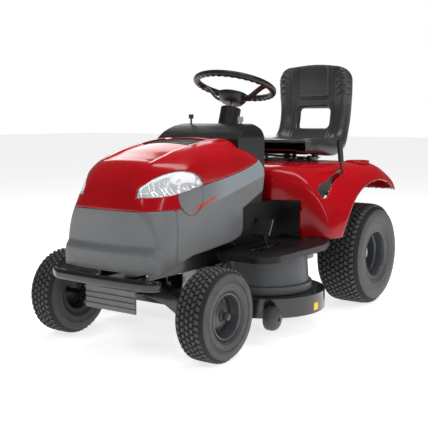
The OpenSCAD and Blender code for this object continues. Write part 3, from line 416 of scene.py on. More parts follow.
along, around = np.meshgrid(np.linspace(0.0005, 1, 230), np.radians(np.linspace(-180, 180, 384)), indexing="ij")
skin = hood_point(along, around)
hx, hy, hz = np.abs(skin[..., 0]), skin[..., 1], skin[..., 2]
hem = [(-0.051, 0.697), (-0.070, 0.579), (-0.078, 0.553), (-0.218, 0.496), (-0.218, 0.412), (-0.230, 0.393),
       (-0.260, 0.382), (-0.299, 0.374), (-0.529, 0.355), (-0.645, 0.322), (-0.70, 0.309), (-0.80, 0.309),
       (-0.80, 0.9), (-0.051, 0.9)]
outside_hem = outside_of(hem, hy, hz)
seam = smooth_line([(-0.80, 0.524), (-0.60, 0.527), (-0.545, 0.595), (-0.461, 0.605), (-0.255, 0.635), (-0.103, 0.672),
                    (-0.02, 0.705)], hy)
lamp_shape = rounded([(-0.765, 0.568), (-0.738, 0.577), (-0.716, 0.593), (-0.688, 0.616), (-0.655, 0.638),
                      (-0.610, 0.654), (-0.560, 0.659), (-0.510, 0.644), (-0.472, 0.608), (-0.520, 0.597),
                      (-0.580, 0.586), (-0.640, 0.576), (-0.700, 0.571)])
outside_lamp = np.maximum(outside_of(lamp_shape, hy, hz), 0.128 - hx)
outside_cover = np.maximum(np.hypot(hy + 0.540, hz - 0.566) - 0.065, 0.12 - hx)
outside_vent = np.maximum.reduce([hx - 0.118, np.abs(hy + 0.3335) - 0.0665, 0.65 - hz])
cut_for_column = np.maximum(hx - 0.208, -0.213 - hy)
gap = 0.0012


def wall_inwards(piece, hub, thickness):
    """Turns an open shell's faces away from a point inside it, and builds its wall inwards."""
    work = bmesh.new()
    work.from_mesh(piece.data)
    hub = Vector(centre) + Vector(hub)
    if sum((f.calc_center_median() - hub).dot(f.normal) * f.calc_area() for f in work.faces) < 0:
        bmesh.ops.reverse_faces(work, faces=work.faces)
    work.to_mesh(piece.data)
    work.free()
    modify(piece, "SOLIDIFY", thickness=thickness, offset=-1)
    return piece


def hood_piece(name, edge, material, thickness=0.0035):
    """A trimmed part of the hood's skin with its wall turned inwards."""
    points, faces = trim(skin, edge)
    piece = mesh_of(name, points, faces, material, 50)
    return wall_inwards(piece, (0, -0.35, 0.5), thickness)


red_edge = np.maximum.reduce([seam + gap / 2 - hz, gap / 2 - outside_lamp, gap / 2 - outside_cover,
                              gap - outside_vent, -cut_for_column, outside_hem])
fix(hood_piece("hood_top", red_edge, red_paint), "hood", "painted_red", "hood_shell")
below_red = np.maximum(hz - seam + gap / 2, gap / 2 - outside_cover)
nose_edge = np.maximum.reduce([below_red, hy + 0.623, outside_hem, gap / 2 - outside_lamp])
fix(hood_piece("nose_cover", nose_edge, grey_panel), "hood", "grey_plastic", "hood_nose")
for side, name in ((1, "left"), (-1, "right")):
    other_side = -skin[..., 0] * side
    panel_edge = np.maximum.reduce([below_red, -0.6218 - hy, outside_hem, other_side])
    fix(hood_piece(f"side_cover_{name}", panel_edge, grey_panel), "hood", "grey_plastic", f"side_panel_{name}")
    plate_edge = np.maximum.reduce([outside_cover, gap / 2 - outside_lamp, other_side])
    fix(hood_piece(f"lamp_plate_{name}", plate_edge, grey_panel), "hood", "grey_plastic", f"headlight_cover_{name}")

# ---------------------------------------------------------------- headlights
# Each lamp is a clear moulded lens over a bright reflector. The reflector is cut into upright
# flutes with a round bowl in the middle.
lens_finish = bpy.data.materials.new("clear_lens")
lens_finish.use_nodes = True
lens_shader = lens_finish.node_tree.nodes["Principled BSDF"]
lens_shader.inputs["Base Color"].default_value = (0.95, 0.97, 1.0, 1)
lens_shader.inputs["Roughness"].default_value = 0.03
lens_shader.inputs["Alpha"].default_value = 0.22
lens_shader.inputs["Coat Weight"].default_value = 1.0


def flutes(point, fine):
    """Upright cylinder-like flutes and a faint cross pattern."""
    y = point.part(1)
    z = point.part(2)
    return y.math("SINE", y * 190.0) * 2.0 + z.math("SINE", z * 110.0) * 0.6


reflector = finish_of("bright_reflector", (0.82, 0.83, 0.85), 0.12, metallic=1.0, variation=0.05, grain=0.9,
                      extra=flutes)
for side, name in ((1, "left"), (-1, "right")):
    other_side = -skin[..., 0] * side
    lamp_edge = np.maximum(outside_lamp + gap / 4, other_side)
    lens = fix(hood_piece(f"lamp_lens_{name}", lamp_edge, lens_finish, 0.0025), "hood", None, f"headlight_lens_{name}")
    points, faces = trim(skin, lamp_edge)
    hollow = np.clip(-outside_of(lamp_shape, points[:, 1], points[:, 2]) / 0.03, 0, 1)
    bowl = np.exp(-((points[:, 1] + 0.585) ** 2 + (points[:, 2] - 0.618) ** 2) / 0.0005)
    inwards = points - np.array([0.04 * side, -0.50, 0.55])
    inwards /= np.linalg.norm(inwards, axis=1, keepdims=True)
    points = points - inwards * (0.005 + 0.018 * np.sqrt(hollow) + 0.014 * bowl)[:, None]
    fix(mesh_of(f"lamp_reflector_{name}", points, faces, reflector, 60), "hood", None, f"headlight_reflector_{name}")

# ---------------------------------------------------------------- air vent
# A black grille of cross slats lets the engine's air through the back of the hood's top.
vent_depth = 0.014
tray = hood_piece("vent_tray", outside_vent, dark_trim, 0.003)
tray.data.transform(Matrix.Translation((0, 0, -vent_depth)))
fix(tray, "hood", "dark_plastic", "hood_vent")


def roof_height(x, y):
    """Height of the hood's skin over a point in plan, by halving an interval."""
    low, high = np.full_like(x, 0.6), np.full_like(x, 0.9)
    for _ in range(24):
        half = (low + high) / 2
        inside = hood_depth(np.stack([x, y, half], -1)) < 0
        low, high = np.where(inside, half, low), np.where(inside, high, half)
    return low


slat_grey = finish_of("slat_grey", (0.10, 0.10, 0.105), 0.35, grain=0.2)
for number in range(6):
    across, over = np.meshgrid(np.linspace(-0.116, 0.116, 50), np.linspace(-0.0068, 0.0068, 4), indexing="ij")
    slat_y = -0.389 + 0.0222 * number + over
    slat = np.stack([across, slat_y, roof_height(across, slat_y) - 0.004 - 0.12 * over], -1)
    slat_piece = mesh_of(f"vent_slat_{number}", slat, grid_faces(50, 4), slat_grey)
    modify(slat_piece, "SOLIDIFY", thickness=0.003, offset=-1)
    fix(slat_piece, "hood", "dark_plastic")

# ---------------------------------------------------------------- rear body
# One moulded shell makes the seat deck and both rear fenders. It slopes down in front to the
# footrests, is cut away over the rear wheels, and rolls down to a low edge at the back.
body_half = [(0.06, 0.190), (0.07, 0.193), (0.13, 0.286), (0.186, 0.404), (0.236, 0.422), (0.30, 0.436), (0.40, 0.440),
             (0.76, 0.440), (0.82, 0.401), (0.9, 0.35)]
body_roof = [(0.0, 0.645), (0.61, 0.645), (0.655, 0.636), (0.705, 0.616), (0.76, 0.590), (0.796, 0.562), (0.82, 0.530),
             (0.84, 0.49)]


def body_depth(p):
    """How far a point is outside the body's skin: the largest of its distances outside the plan,
    the roof line, the ends and the nearer of two sloping front faces, with rounded joins."""
    x, y, z = np.abs(p[..., 0]), p[..., 1], p[..., 2]
    plan = (x - smooth_line(body_half, y)) * 0.8
    roof = z - smooth_line(body_roof, y)
    fender = (x - 0.352) * 0.6279 - (y - 0.378) * 0.3954 + (z - 0.631) * 0.6704
    pedestal = (x - 0.200) * 0.8932 - (y - 0.080) * 0.1736 + (z - 0.650) * 0.4147
    slope = -round_max(-fender, -pedestal, 0.12)
    ends = np.maximum(0.0675 - y, y - 0.8195)
    return round_max(round_max(round_max(plan, ends, 0.02), roof, 0.10), slope, 0.07)


def body_point(along, around):
    """The body's skin, found along rays as the hood's is, but capped by tipped rays at both ends."""
    tip = np.where(along < 0.25, along / 0.25 * np.pi / 2, np.pi / 2)
    tip = np.where(along > 0.75, np.pi / 2 + (along - 0.75) / 0.25 * np.pi / 2, tip)
    start = np.stack([0 * along, 0.26 + 0.40 * np.clip((along - 0.25) / 0.5, 0, 1), 0.42 + 0 * along], -1)
    ray = np.stack([np.sin(tip) * np.sin(around), -np.cos(tip), np.sin(tip) * np.cos(around)], -1)
    low, high = np.zeros_like(along), np.full_like(along, 0.75)
    for _ in range(26):
        half = (low + high) / 2
        inside = body_depth(start + ray * half[..., None]) < 0
        low, high = np.where(inside, half, low), np.where(inside, high, half)
    return start + ray * low[..., None]


along, around = np.meshgrid(np.linspace(0.006, 0.994, 250), np.radians(np.linspace(-112, 112, 340)), indexing="ij")
shell = body_point(along, around)
bx, by, bz = np.abs(shell[..., 0]), shell[..., 1], shell[..., 2]
rear_r = 0.2285
arch = 0.337 - np.hypot(by - 0.57, bz - rear_r)
tail_cut = np.minimum(0.508 - bz, by - 0.57)
foot_space = np.minimum(0.286 - bx, np.minimum(0.500 - bz, 0.137 - by))
tunnel_cut = np.minimum(0.1915 - bx, 0.5 - bz)
lift_half = 0.009 + 0.007 * (1 - ease(by, 0.225, 0.275))
lift_slot = np.minimum.reduce([lift_half - np.abs(shell[..., 0] - 0.352), by - 0.188, 0.392 - by])
drive_slot = np.minimum.reduce([0.009 - np.abs(shell[..., 0] + 0.300), by - 0.390, 0.540 - by, bz - 0.6])
body_edge = np.maximum.reduce([arch, tail_cut, foot_space, tunnel_cut, 0.342 - bz, lift_slot, drive_slot])
points, faces = trim(shell, body_edge)
rear_shell = mesh_of("rear_body_shell", points, faces, red_paint, 45)
wall_inwards(rear_shell, (0, 0.45, 0.42), 0.004)
fix(rear_shell, "chassis", "painted_red", "rear_body")
# Painted shade: a dark sheet inside each fender, behind the lever slots, stands in for the shade inside the body. Each
# is cut clear of its lever's sweep.
for s, name in ((1, "left"), (-1, "right")):
    high, deep = np.meshgrid(np.linspace(0.355, 0.640, 40), np.linspace(0.155, 0.400, 40), indexing="ij")
    liner = np.stack([s * (0.292 + 0 * high), deep, high], -1)
    lever_sweep = 0.130 - np.hypot(deep - 0.42, high - 0.40)
    points, faces = trim(liner, np.maximum(body_depth(liner) + 0.009, lever_sweep))
    liner_piece = mesh_of(f"slot_shade_liner_{name}", points, faces, dark_trim)
    modify(liner_piece, "SOLIDIFY", thickness=0.003, offset=0)
    fix(liner_piece, "chassis", "dark_plastic")


def lathe(name, profile, middle_at, material, axis="x", turns=128, smooth=40, flip=1):
    """A turned piece: a closed profile of (radius, place along the axis) spun about the axis."""
    profile = np.array(profile, float)
    angle = np.linspace(0, 2 * np.pi, turns, endpoint=False)[:, None]
    radius, place = profile[None, :, 0], profile[None, :, 1] * flip + 0 * angle
    a, b = radius * np.cos(angle), radius * np.sin(angle)
    points = np.stack([place, a, b] if axis == "x" else [a, b, place], -1) + np.array(middle_at)
    return mesh_of(name, points, grid_faces(turns, len(profile), True, True), material, smooth)


rim_line = np.linspace(0, 2 * np.pi, 96, endpoint=False)[:, None]
section = np.linspace(0, 2 * np.pi, 10, endpoint=False)[None, :]
ring_r = 0.049 + 0.0045 * np.cos(section)
ring = np.stack([0.330 + ring_r * np.cos(rim_line), 0.580 + ring_r * 1.15 * np.sin(rim_line),
                 0.6445 + 0.007 * np.sin(section) + 0 * rim_line], -1)
fix(mesh_of("fender_ring", ring, grid_faces(96, 10, True, True), red_paint), "chassis", "painted_red")

# ---------------------------------------------------------------- tyres
# Turf tyres: a soft round carcass of dark rubber, painted near black between the blocks as shade in the grooves,
# rows of small slanted blocks across the tread, and plain paler side walls with two raised rings above the bead.
def rubber_tint(point, paint):
    """Dusty patches on the rubber."""
    dust = point.noise(26.0, 6.0)
    return (dust.step(0.45, 0.8) * 0.5).mix(paint, (0.085, 0.082, 0.078))


tread_rubber = finish_of("tread_rubber", (0.052, 0.053, 0.055), 0.62, grain=0.5, grain_size=500.0, tint=rubber_tint)
# Painted shade: the carcass between the tread blocks is coloured near black to stand in for the shade in the grooves.
painted_groove_shade = finish_of("painted_groove_shade", (0.012, 0.012, 0.013), 0.8)
wall_rubber = finish_of("wall_rubber", (0.048, 0.049, 0.052), 0.52, grain=0.3, grain_size=700.0, tint=rubber_tint)


def tyre_line(r, w, rim_r, bead):
    """Half of a tyre's section from the bead out to the middle of the tread."""
    h = r - rim_r
    return np.array([[rim_r, bead / 2], [rim_r + 0.004, bead / 2 + 0.004], [rim_r + 0.010, bead / 2 + 0.004],
                     [rim_r + h * 0.22, w * 0.462], [rim_r + h * 0.26, w * 0.478], [rim_r + h * 0.32, w * 0.478],
                     [rim_r + h * 0.36, w * 0.484], [rim_r + h * 0.52, w * 0.497], [rim_r + h * 0.66, w * 0.49],
                     [r - w * 0.13, w * 0.475], [r - w * 0.065, w * 0.425], [r - w * 0.034, w * 0.34],
                     [r - w * 0.022, w * 0.22], [r - w * 0.016, w * 0.10], [r - w * 0.014, 0]])


def tyre_piece(name, node, body, r, w, rim_r, bead, at, rows, around_count):
    """The carcass is turned. The blocks are one set of arrays: each has a slanted foot on the
    carcass, a smaller flat top, and every other row is set half a pitch on."""
    half = tyre_line(r, w, rim_r, bead)
    half[-5:, 0] -= 0.0035
    fine = np.stack([np.interp(np.linspace(0, 1, 44), np.linspace(0, 1, len(half)), half[:, k]) for k in (0, 1)], -1)
    profile = np.concatenate([fine, fine[-2::-1] * [1, -1]])
    carcass = lathe(name, profile, at, wall_rubber, "x", 120, 60)
    carcass.data.materials.append(painted_groove_shade)
    off = np.empty(len(carcass.data.vertices) * 3)
    carcass.data.vertices.foreach_get("co", off)
    off = off.reshape(-1, 3) - centre - np.array(at)
    crown_point = (np.abs(off[:, 0]) < w * 0.47) & (np.hypot(off[:, 1], off[:, 2]) > r - w * 0.14)
    # The crown faces between the blocks take the painted groove shade.
    for face in carcass.data.polygons:
        face.material_index = int(crown_point[list(face.vertices)].all())
    arc_x = np.linspace(-0.455, 0.455, rows)
    row, turn = np.meshgrid(np.arange(rows), np.arange(around_count), indexing="ij")
    pitch = 2 * np.pi / around_count
    angle = ((turn + 0.5 * (row % 2)) * pitch)[..., None]
    wide, deep = w * 0.91 / rows * 0.40, pitch * 0.36
    shape = np.array([[-1, -1, 0], [1, -1, 0], [1, 1, 0], [-1, 1, 0], [-0.8, -0.74, 1], [0.8, -0.74, 1], [0.8, 0.74, 1],
                      [-0.8, 0.74, 1]])
    slant = np.where(row % 2, 0.55, -0.55)[..., None]
    place = arc_x[row][..., None] * w + shape[:, 0] * wide
    swing = angle + shape[:, 1] * deep + slant * shape[:, 0] * deep * 0.6
    order = np.argsort(fine[:, 1])
    crown = np.interp(np.abs(place), fine[order, 1], fine[order, 0])
    radius = np.where(shape[:, 2] > 0, np.minimum(crown + w * 0.019 + 0.0042, r), crown - 0.004)
    outer = np.abs(place) > w * 0.47
    radius = np.where(outer & (shape[:, 2] > 0), radius - 0.001, radius)
    points = np.stack([place, radius * np.cos(swing), radius * np.sin(swing)], -1) + np.array(at)
    quads = np.array([[4, 5, 6, 7], [0, 1, 5, 4], [1, 2, 6, 5], [2, 3, 7, 6], [3, 0, 4, 7]])
    first = (np.arange(row.size) * 8)[:, None, None]
    blocks = mesh_of(name + "_blocks", points, (quads[None] + first).reshape(-1, 4), tread_rubber, 30)
    fix(carcass, body, "rubber_tread", node)
    fix(blocks, body, "rubber_tread")


front_at, rear_at = -0.570, 0.570
front_half_track, rear_half_track = 0.356, 0.342
front_r, front_rim_r, rear_rim_r = 0.165, 0.076, 0.1015
for s, name in ((1, "left"), (-1, "right")):
    tyre_piece(f"front_tyre_body_{name}", f"front_tyre_{name}", f"front_wheel_{name}", front_r, 0.124, front_rim_r,
               0.092, (s * front_half_track, front_at, front_r), 7, 46)
    tyre_piece(f"rear_tyre_body_{name}", f"rear_tyre_{name}", f"rear_wheel_{name}", rear_r, 0.212, rear_rim_r, 0.174,
               (s * rear_half_track, rear_at, rear_r), 10, 54)

# ---------------------------------------------------------------- wheel rims
# Pressed steel rims in dark grey satin paint: a rolled lip, a stepped well, a domed disc with
# bolts, and a cap over the stub or the axle's end.
rim_paint = finish_of("rim_paint", (0.075, 0.078, 0.082), 0.34, metallic=0.35, grain=0.12, worn=0.18)
bright_steel = finish_of("bright_steel", (0.58, 0.58, 0.6), 0.28, metallic=1.0, worn=0.25, grain=0.1)


def rim_profile(rim_r, bead, dish, hub_r, cap):
    """Closed outline of the rim's wall: lip, well, step, dome and back again 3 mm inside."""
    front = [(rim_r + 0.008, bead / 2 + 0.003), (rim_r + 0.006, bead / 2 + 0.0055), (rim_r, bead / 2 + 0.004),
             (rim_r - 0.004, bead / 2 - 0.006), (rim_r - 0.005, bead * 0.28), (rim_r * 0.90, bead * 0.24),
             (rim_r * 0.88, dish - 0.012), (rim_r * 0.80, dish - 0.016), (rim_r * 0.74, dish - 0.010),
             (rim_r * 0.66, dish + 0.002), (rim_r * 0.52, dish + 0.008), (hub_r + 0.010, dish + 0.012),
             (hub_r + 0.002, dish + 0.014), (hub_r, cap - 0.002), (hub_r - 0.002, cap)]
    back = [(hub_r - 0.008, cap), (hub_r - 0.008, dish + 0.002), (rim_r * 0.5, dish + 0.002),
            (rim_r * 0.66, dish - 0.004), (rim_r * 0.80, dish - 0.022), (rim_r * 0.86, dish - 0.020),
            (rim_r - 0.008, -bead / 2), (rim_r + 0.007, -bead / 2 - 0.004), (rim_r + 0.008, -bead / 2 - 0.001),
            (rim_r - 0.001, -bead / 2 + 0.004), (rim_r - 0.001, bead / 2 - 0.006)]
    return front + back


def bolt_ring(name, body, at, radius, count, size, height, side):
    """Hexagon bolt heads set round a circle on the outer face of a wheel, each a short prism."""
    around_hub = np.arange(count)[:, None, None] * 2 * np.pi / count + 0.3
    corner = np.arange(6)[None, None, :] * np.pi / 3
    level = np.array([0, 0.75, 1.0])[None, :, None]
    reach = size * np.array([1, 1, 0.8])[None, :, None]
    y = radius * np.cos(around_hub) + reach * np.cos(corner)
    z = radius * np.sin(around_hub) + reach * np.sin(corner)
    points = np.stack([side * height * level + 0 * y, y, z], -1) + np.array(at)
    start = (np.arange(count) * 18)[:, None, None]
    walls = grid_faces(3, 6, False, True)
    sides = (walls[None] + start).reshape(-1, 4).tolist()
    tops = (np.arange(12, 18)[None] + start[:, 0]).tolist()
    return fix(mesh_of(name, points, sides + tops, bright_steel, 30), body, "bright_steel")


for s, name in ((1, "left"), (-1, "right")):
    front_hub, rear_hub = (s * front_half_track, front_at, front_r), (s * rear_half_track, rear_at, rear_r)
    rim = lathe(f"front_rim_disc_{name}", rim_profile(front_rim_r, 0.092, 0.016, 0.020, 0.040), front_hub,
                rim_paint, "x", 96, 32, s)
    fix(rim, f"front_wheel_{name}", "rim_paint", f"front_rim_{name}")
    cap_line = [(0.0001, 0.0605), (0.006, 0.060), (0.0125, 0.057), (0.0155, 0.050), (0.0165, 0.034), (0.0001, 0.034)]
    cap = lathe(f"front_cap_{name}", cap_line, front_hub, dark_trim, "x", 48, 32, s)
    fix(cap, f"front_wheel_{name}", "dark_plastic")
    rim = lathe(f"rear_rim_disc_{name}", rim_profile(rear_rim_r, 0.174, 0.014, 0.026, 0.034), rear_hub,
                rim_paint, "x", 96, 32, s)
    fix(rim, f"rear_wheel_{name}", "rim_paint", f"rear_rim_{name}")
    bolt_ring(f"rear_bolts_{name}", f"rear_wheel_{name}", (s * 0.3620, rear_at, 0.2285), 0.042, 5, 0.0075, 0.007, s)

# ---------------------------------------------------------------- seat
# One moulded foam seat in black grained vinyl. The base and the back are one curved shell with
# raised bolsters, a stitched panel, twin piping lines and a square window low in the back.
def vinyl_relief(point, fine):
    """Leather grain: small soft cells."""
    cells = point.node("ShaderNodeTexVoronoi", {"feature": "SMOOTH_F1"}, (), 0, Vector=point, Scale=420.0)
    return cells * 0.7 + fine * 0.3


vinyl = finish_of("black_vinyl", (0.024, 0.024, 0.026), 0.33, grain=0.35, grain_size=600.0, extra=vinyl_relief,
                  variation=0.2, worn=0.12, Specular_IOR_Level=0.8)
seat_knots = [(0.350, 0.712), (0.385, 0.716), (0.430, 0.719), (0.480, 0.717), (0.560, 0.708), (0.640, 0.707),
              (0.705, 0.722), (0.748, 0.768), (0.772, 0.830), (0.781, 0.900), (0.778, 0.970), (0.776, 1.040),
              (0.782, 1.107), (0.787, 1.15)]
seat_path = rounded(seat_knots, 12)[12:12 * (len(seat_knots) - 2) + 1]
pace = np.concatenate([[0], np.cumsum(np.hypot(*np.diff(seat_path, axis=0).T))])
length = pace[-1]


def seat_sheets(rows, columns):
    """Two sheets stand off a curved middle sheet, front and back. Their distance from it fades to
    nothing at the outline and round the window, like the quarter of a circle, so they meet in a
    full rounded edge. Bolsters, panel, piping and grooves are added to the front one."""
    s = 0.75 * (length * (1 - np.cos(np.linspace(0, np.pi, rows))) / 2) + 0.25 * np.linspace(0, length, rows)
    q = 0.5 * np.sin(np.linspace(-np.pi / 2, np.pi / 2, columns)) + 0.5 * np.linspace(-1, 1, columns)
    s, q = np.meshgrid(s, q, indexing="ij")
    y, z = np.interp(s, pace, seat_path[:, 0]), np.interp(s, pace, seat_path[:, 1])
    near = 1e-3
    ty = np.interp(s + near, pace, seat_path[:, 0]) - np.interp(s - near, pace, seat_path[:, 0])
    tz = np.interp(s + near, pace, seat_path[:, 1]) - np.interp(s - near, pace, seat_path[:, 1])
    size = np.hypot(ty, tz)
    ny, nz = -tz / size, ty / size
    half = smooth_line([(0, 0.168), (0.025, 0.192), (0.07, 0.201), (0.16, 0.203), (0.30, 0.200), (0.42, 0.190),
                        (0.52, 0.192), (0.60, 0.198), (length - 0.08, 0.199), (length, 0.199)], s)
    near_top = np.clip(1 - (length - s) / 0.075, 0, 1)
    half = half - 0.085 * (1 - np.sqrt(1 - 0.985 * near_top ** 2))
    z = z + 0.010 * (1 - q ** 2) * ease(s, length - 0.2, length) - 0.012 * ease(s, length - 0.2, length)
    x = q * half
    from_side = (1 - np.abs(q)) * half
    from_end = np.minimum(s * 1.5, (length - s) * 1.3)
    edge = np.minimum(from_side, from_end + 0.002)
    roll = np.clip(1 - (1 - np.clip(edge / 0.028, 0, 1)) ** 2.8, 0, 1) ** (1 / 2.8)
    across = np.abs(x)
    hole = np.hypot(np.maximum(across - 0.066, 0), np.maximum(np.abs(z - 0.842) - 0.030, 0)) - 0.020
    hole = np.where(s < 0.32, 1.0, hole)
    ring = np.sqrt(np.clip(1 - (1 - np.clip(hole / 0.022, 0, 1)) ** 2, 0, 1))
    bolster = 0.017 * np.exp(-((across - 0.160) / 0.034) ** 2) * ease(s, 0.02, 0.16) * (1 - 0.25 * ease(s, 0.66, 0.78))
    groove = np.exp(-((across - 0.098) / 0.0028) ** 2) + np.exp(-((across - 0.112) / 0.0028) ** 2)
    panel_d = np.hypot(np.maximum(across - 0.064, 0), np.maximum(np.abs(z - 1.022) - 0.056, 0)) - 0.018
    panel_d = np.where(s < 0.45, 1.0, panel_d)
    panel = 0.004 * (1 - ease(panel_d, -0.005, 0.001)) - 0.0045 * np.exp(-((panel_d - 0.003) / 0.003) ** 2)
    ribs = np.zeros_like(x)
    for low in (0.965, 0.995, 1.025, 1.055):
        bend = z - low - 0.020 * ((across - 0.135) / 0.055) + 0.02 * ((across - 0.15) / 0.04) ** 2
        ribs = ribs + np.exp(-(bend / 0.0032) ** 2) * ease(across, 0.128, 0.138)
    front = (0.024 + 0.005 * (1 - ease(s, 0.05, 0.2)) + bolster + panel - 0.0045 * groove - 0.0056 * ribs) * roll * ring
    back = smooth_line([(0, 0.0255), (0.05, 0.027), (0.12, 0.030), (0.30, 0.030), (0.42, 0.022), (0.6, 0.022),
                        (length, 0.022)], s)
    skirt = ease(across, 0.105, 0.130) * (1 - ease(s, 0.24, 0.32))
    back = (back + 0.009 * skirt) * roll * ring
    return [np.stack([x, y + ny * reach, z + nz * reach], -1) for reach in (front, -back)], hole


sheets, hole = seat_sheets(190, 120)
front_points, front_faces = trim(sheets[0], -hole)
back_points, back_faces = trim(sheets[1], -hole)
seat_piece = mesh_of("seat_cushion", np.concatenate([front_points, back_points]),
                     np.concatenate([front_faces, back_faces[:, ::-1] + len(front_points)]), vinyl, 180)
fix(seat_piece, "seat", "seat_vinyl", "seat")

# ---------------------------------------------------------------- frame, axle and running gear
# Welded and folded steel under black paint carries everything. Its parts keep their own shape,
# with sharp edges broken by a small rounding, as a press or a grinder leaves them.
def earth(point, paint):
    """Dry dust gathered low down and in patches."""
    z = point.part(2)
    patch = point.noise(30.0, 6.0)
    return ((1 - z.step(0.1, 0.4)) * patch.step(0.5, 0.8) * 0.3).mix(paint, (0.09, 0.08, 0.065))


black_paint = finish_of("black_paint", (0.006, 0.006, 0.0065), 0.2, coat=0.4, grain=0.06, grain_size=160.0, tint=earth)
satin_black = finish_of("satin_black", (0.0075, 0.0075, 0.008), 0.33, grain=0.3, grain_size=1100.0)
cast_alloy = finish_of("cast_alloy", (0.36, 0.36, 0.37), 0.5, metallic=0.8, grain=0.5, grain_size=380.0, worn=0.2)
muffler_steel = finish_of("muffler_steel", (0.30, 0.28, 0.26), 0.42, metallic=0.9, grain=0.2, worn=0.3)
hard_rubber = finish_of("hard_rubber", (0.05, 0.05, 0.052), 0.5, grain=0.3, grain_size=800.0)
cover_grey = finish_of("cover_grey", (0.075, 0.080, 0.088), 0.36, grain=0.22, grain_size=1200.0, tint=earth)
guard_grey = finish_of("guard_grey", (0.13, 0.135, 0.13), 0.34, grain=0.15, metallic=0.2, tint=earth)


def soften(node, body, slot, material, width=0.0015, angle=30, clean=2.0):
    """A copy of a solid's faces, merged, with flat neighbours joined and its edges rounded."""
    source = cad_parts[node]
    mesh = source.data.copy()
    mesh.name = node + "_made"
    piece = bpy.data.objects.new(node + "_made", mesh)
    bpy.context.scene.collection.objects.link(piece)
    work = bmesh.new()
    work.from_mesh(mesh)
    bmesh.ops.remove_doubles(work, verts=work.verts, dist=2e-5)
    bmesh.ops.dissolve_limit(work, angle_limit=np.radians(clean), verts=work.verts, edges=work.edges)
    work.to_mesh(mesh)
    work.free()
    mesh.materials.clear()
    mesh.materials.append(material)
    mesh.shade_smooth()
    mesh.set_sharp_from_angle(angle=np.radians(angle))
    modify(piece, "BEVEL", width=width, segments=2, limit_method="ANGLE", angle_limit=np.radians(angle),
           use_clamp_overlap=True)
    modify(piece, "WEIGHTED_NORMAL", keep_sharp=True)
    return fix(piece, body, slot, node)


soften("chassis_frame", "chassis", "black_paint", black_paint, 0.0012)
soften("front_axle_beam", "front_axle", "black_paint", black_paint, 0.003)
for name in ("left", "right"):
    soften(f"stub_axle_{name}", f"stub_{name}", "bright_steel", black_paint, 0.0015)
soften("axle_guard", "chassis", "dark_plastic", guard_grey, 0.002)
soften("hitch_plate", "chassis", "black_paint", black_paint, 0.001)

# ---------------------------------------------------------------- bumper
# A round-shouldered pressed bar in gloss black bows across the nose, on two flat arms.
def squared(value, power):
    """Raises a sine or cosine to a power and keeps its sign, which squares a circle's section."""
    return np.sign(value) * np.abs(value) ** power


t = np.linspace(-1, 1, 90)[:, None]
q = np.linspace(0, 2 * np.pi, 28, endpoint=False)[None, :]
bar_x = 0.258 * t
reach = np.abs(bar_x)
turned_back = 0.008 + 0.034 * (np.clip(reach - 0.2, 0, 1) / 0.062) ** 1.4
bar_y = -0.780 + np.where(reach < 0.2, 0.008 * (reach / 0.2) ** 2, turned_back)
close = np.sqrt(np.clip(1 - (np.clip(np.abs(t) - 0.965, 0, 1) / 0.035) ** 2, 0.02, 1))
bar = np.stack([bar_x + 0 * q,
                bar_y + 0.0005 + 0.0128 * close * squared(np.cos(q), 0.7),
                0.2805 + 0.0188 * close * squared(np.sin(q), 0.75)], -1)
bar_faces = grid_faces(90, 28, False, True).tolist() + [list(range(28))[::-1], list(range(89 * 28, 90 * 28))]
fix(mesh_of("bumper_bar", bar, bar_faces, black_paint, 60), "chassis", "black_paint", "bumper")
for s, name in ((1, "left"), (-1, "right")):
    run = np.linspace(-0.778, -0.6115, 12)[:, None]
    q = np.linspace(0, 2 * np.pi, 20, endpoint=False)[None, :]
    arm = np.stack([s * 0.077 + 0.007 * squared(np.cos(q), 0.3) + 0 * run, run + 0 * q,
                    0.273 + 0.007 * squared(np.sin(q), 0.3) + 0 * run], -1)
    fix(mesh_of(f"bumper_arm_{name}", arm, grid_faces(12, 20, False, True), black_paint), "chassis", "black_paint")
    bolt_ring(f"bumper_bolts_{name}", "chassis", (s * 0.1155, -0.640, 0.292), 0.012, 2, 0.006, 0.005, s)
for node, paint in (("engine", cast_alloy), ("muffler", muffler_steel), ("battery", satin_black),
                    ("transaxle", cast_alloy), ("seat_bracket", black_paint), ("rear_axle_left", bright_steel),
                    ("rear_axle_right", bright_steel), ("tie_rod", bright_steel), ("steering_shaft", bright_steel),
                    ("blade_spindle_left", bright_steel), ("blade_spindle_right", bright_steel),
                    ("engine_pulley", bright_steel), ("seat_slider", black_paint), ("ignition_key", bright_steel),
                    ("throttle_lever", dark_trim), ("seat_pan", satin_black), ("seat_knob", satin_black)):
    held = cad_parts[node].data.materials
    held.clear()
    held.append(paint)

# ---------------------------------------------------------------- dashboard, tunnel and footrests
# Black moulded plastic: the dash rolls over at the top, the tunnel runs back between the
# feet, and each footrest has raised bars across it for grip.
foot_black = finish_of("foot_black", (0.006, 0.006, 0.0065), 0.38, grain=0.3, grain_size=900.0, Specular_IOR_Level=0.28)
soften("dashboard", "chassis", "dark_plastic", satin_black, 0.010, 34, 3)
soften("centre_tunnel", "chassis", "dark_plastic", foot_black, 0.006, 34)
soften("steering_column", "chassis", "dark_plastic", satin_black, 0.003)
for name in ("left", "right"):
    soften(f"footrest_{name}", "chassis", "dark_plastic", foot_black, 0.003)
soften("brake_pedal", "brake_pedal", "black_paint", black_paint, 0.002)
soften("parking_brake_lever", "parking_brake", "dark_plastic", satin_black, 0.003)

# ---------------------------------------------------------------- steering wheel
# A soft black rim with finger bumps underneath, two flat spokes and a dished cup hub, set
# square on the sloping column.
lean = np.radians(17)
wheel_at = np.array([0, 0.067, 0.980])


def on_column(points):
    """Turns points from the wheel's own plane back onto the sloping column."""
    x, y, z = points[..., 0], points[..., 1], points[..., 2]
    return np.stack([x, y * np.cos(lean) + z * np.sin(lean), z * np.cos(lean) - y * np.sin(lean)], -1) + wheel_at


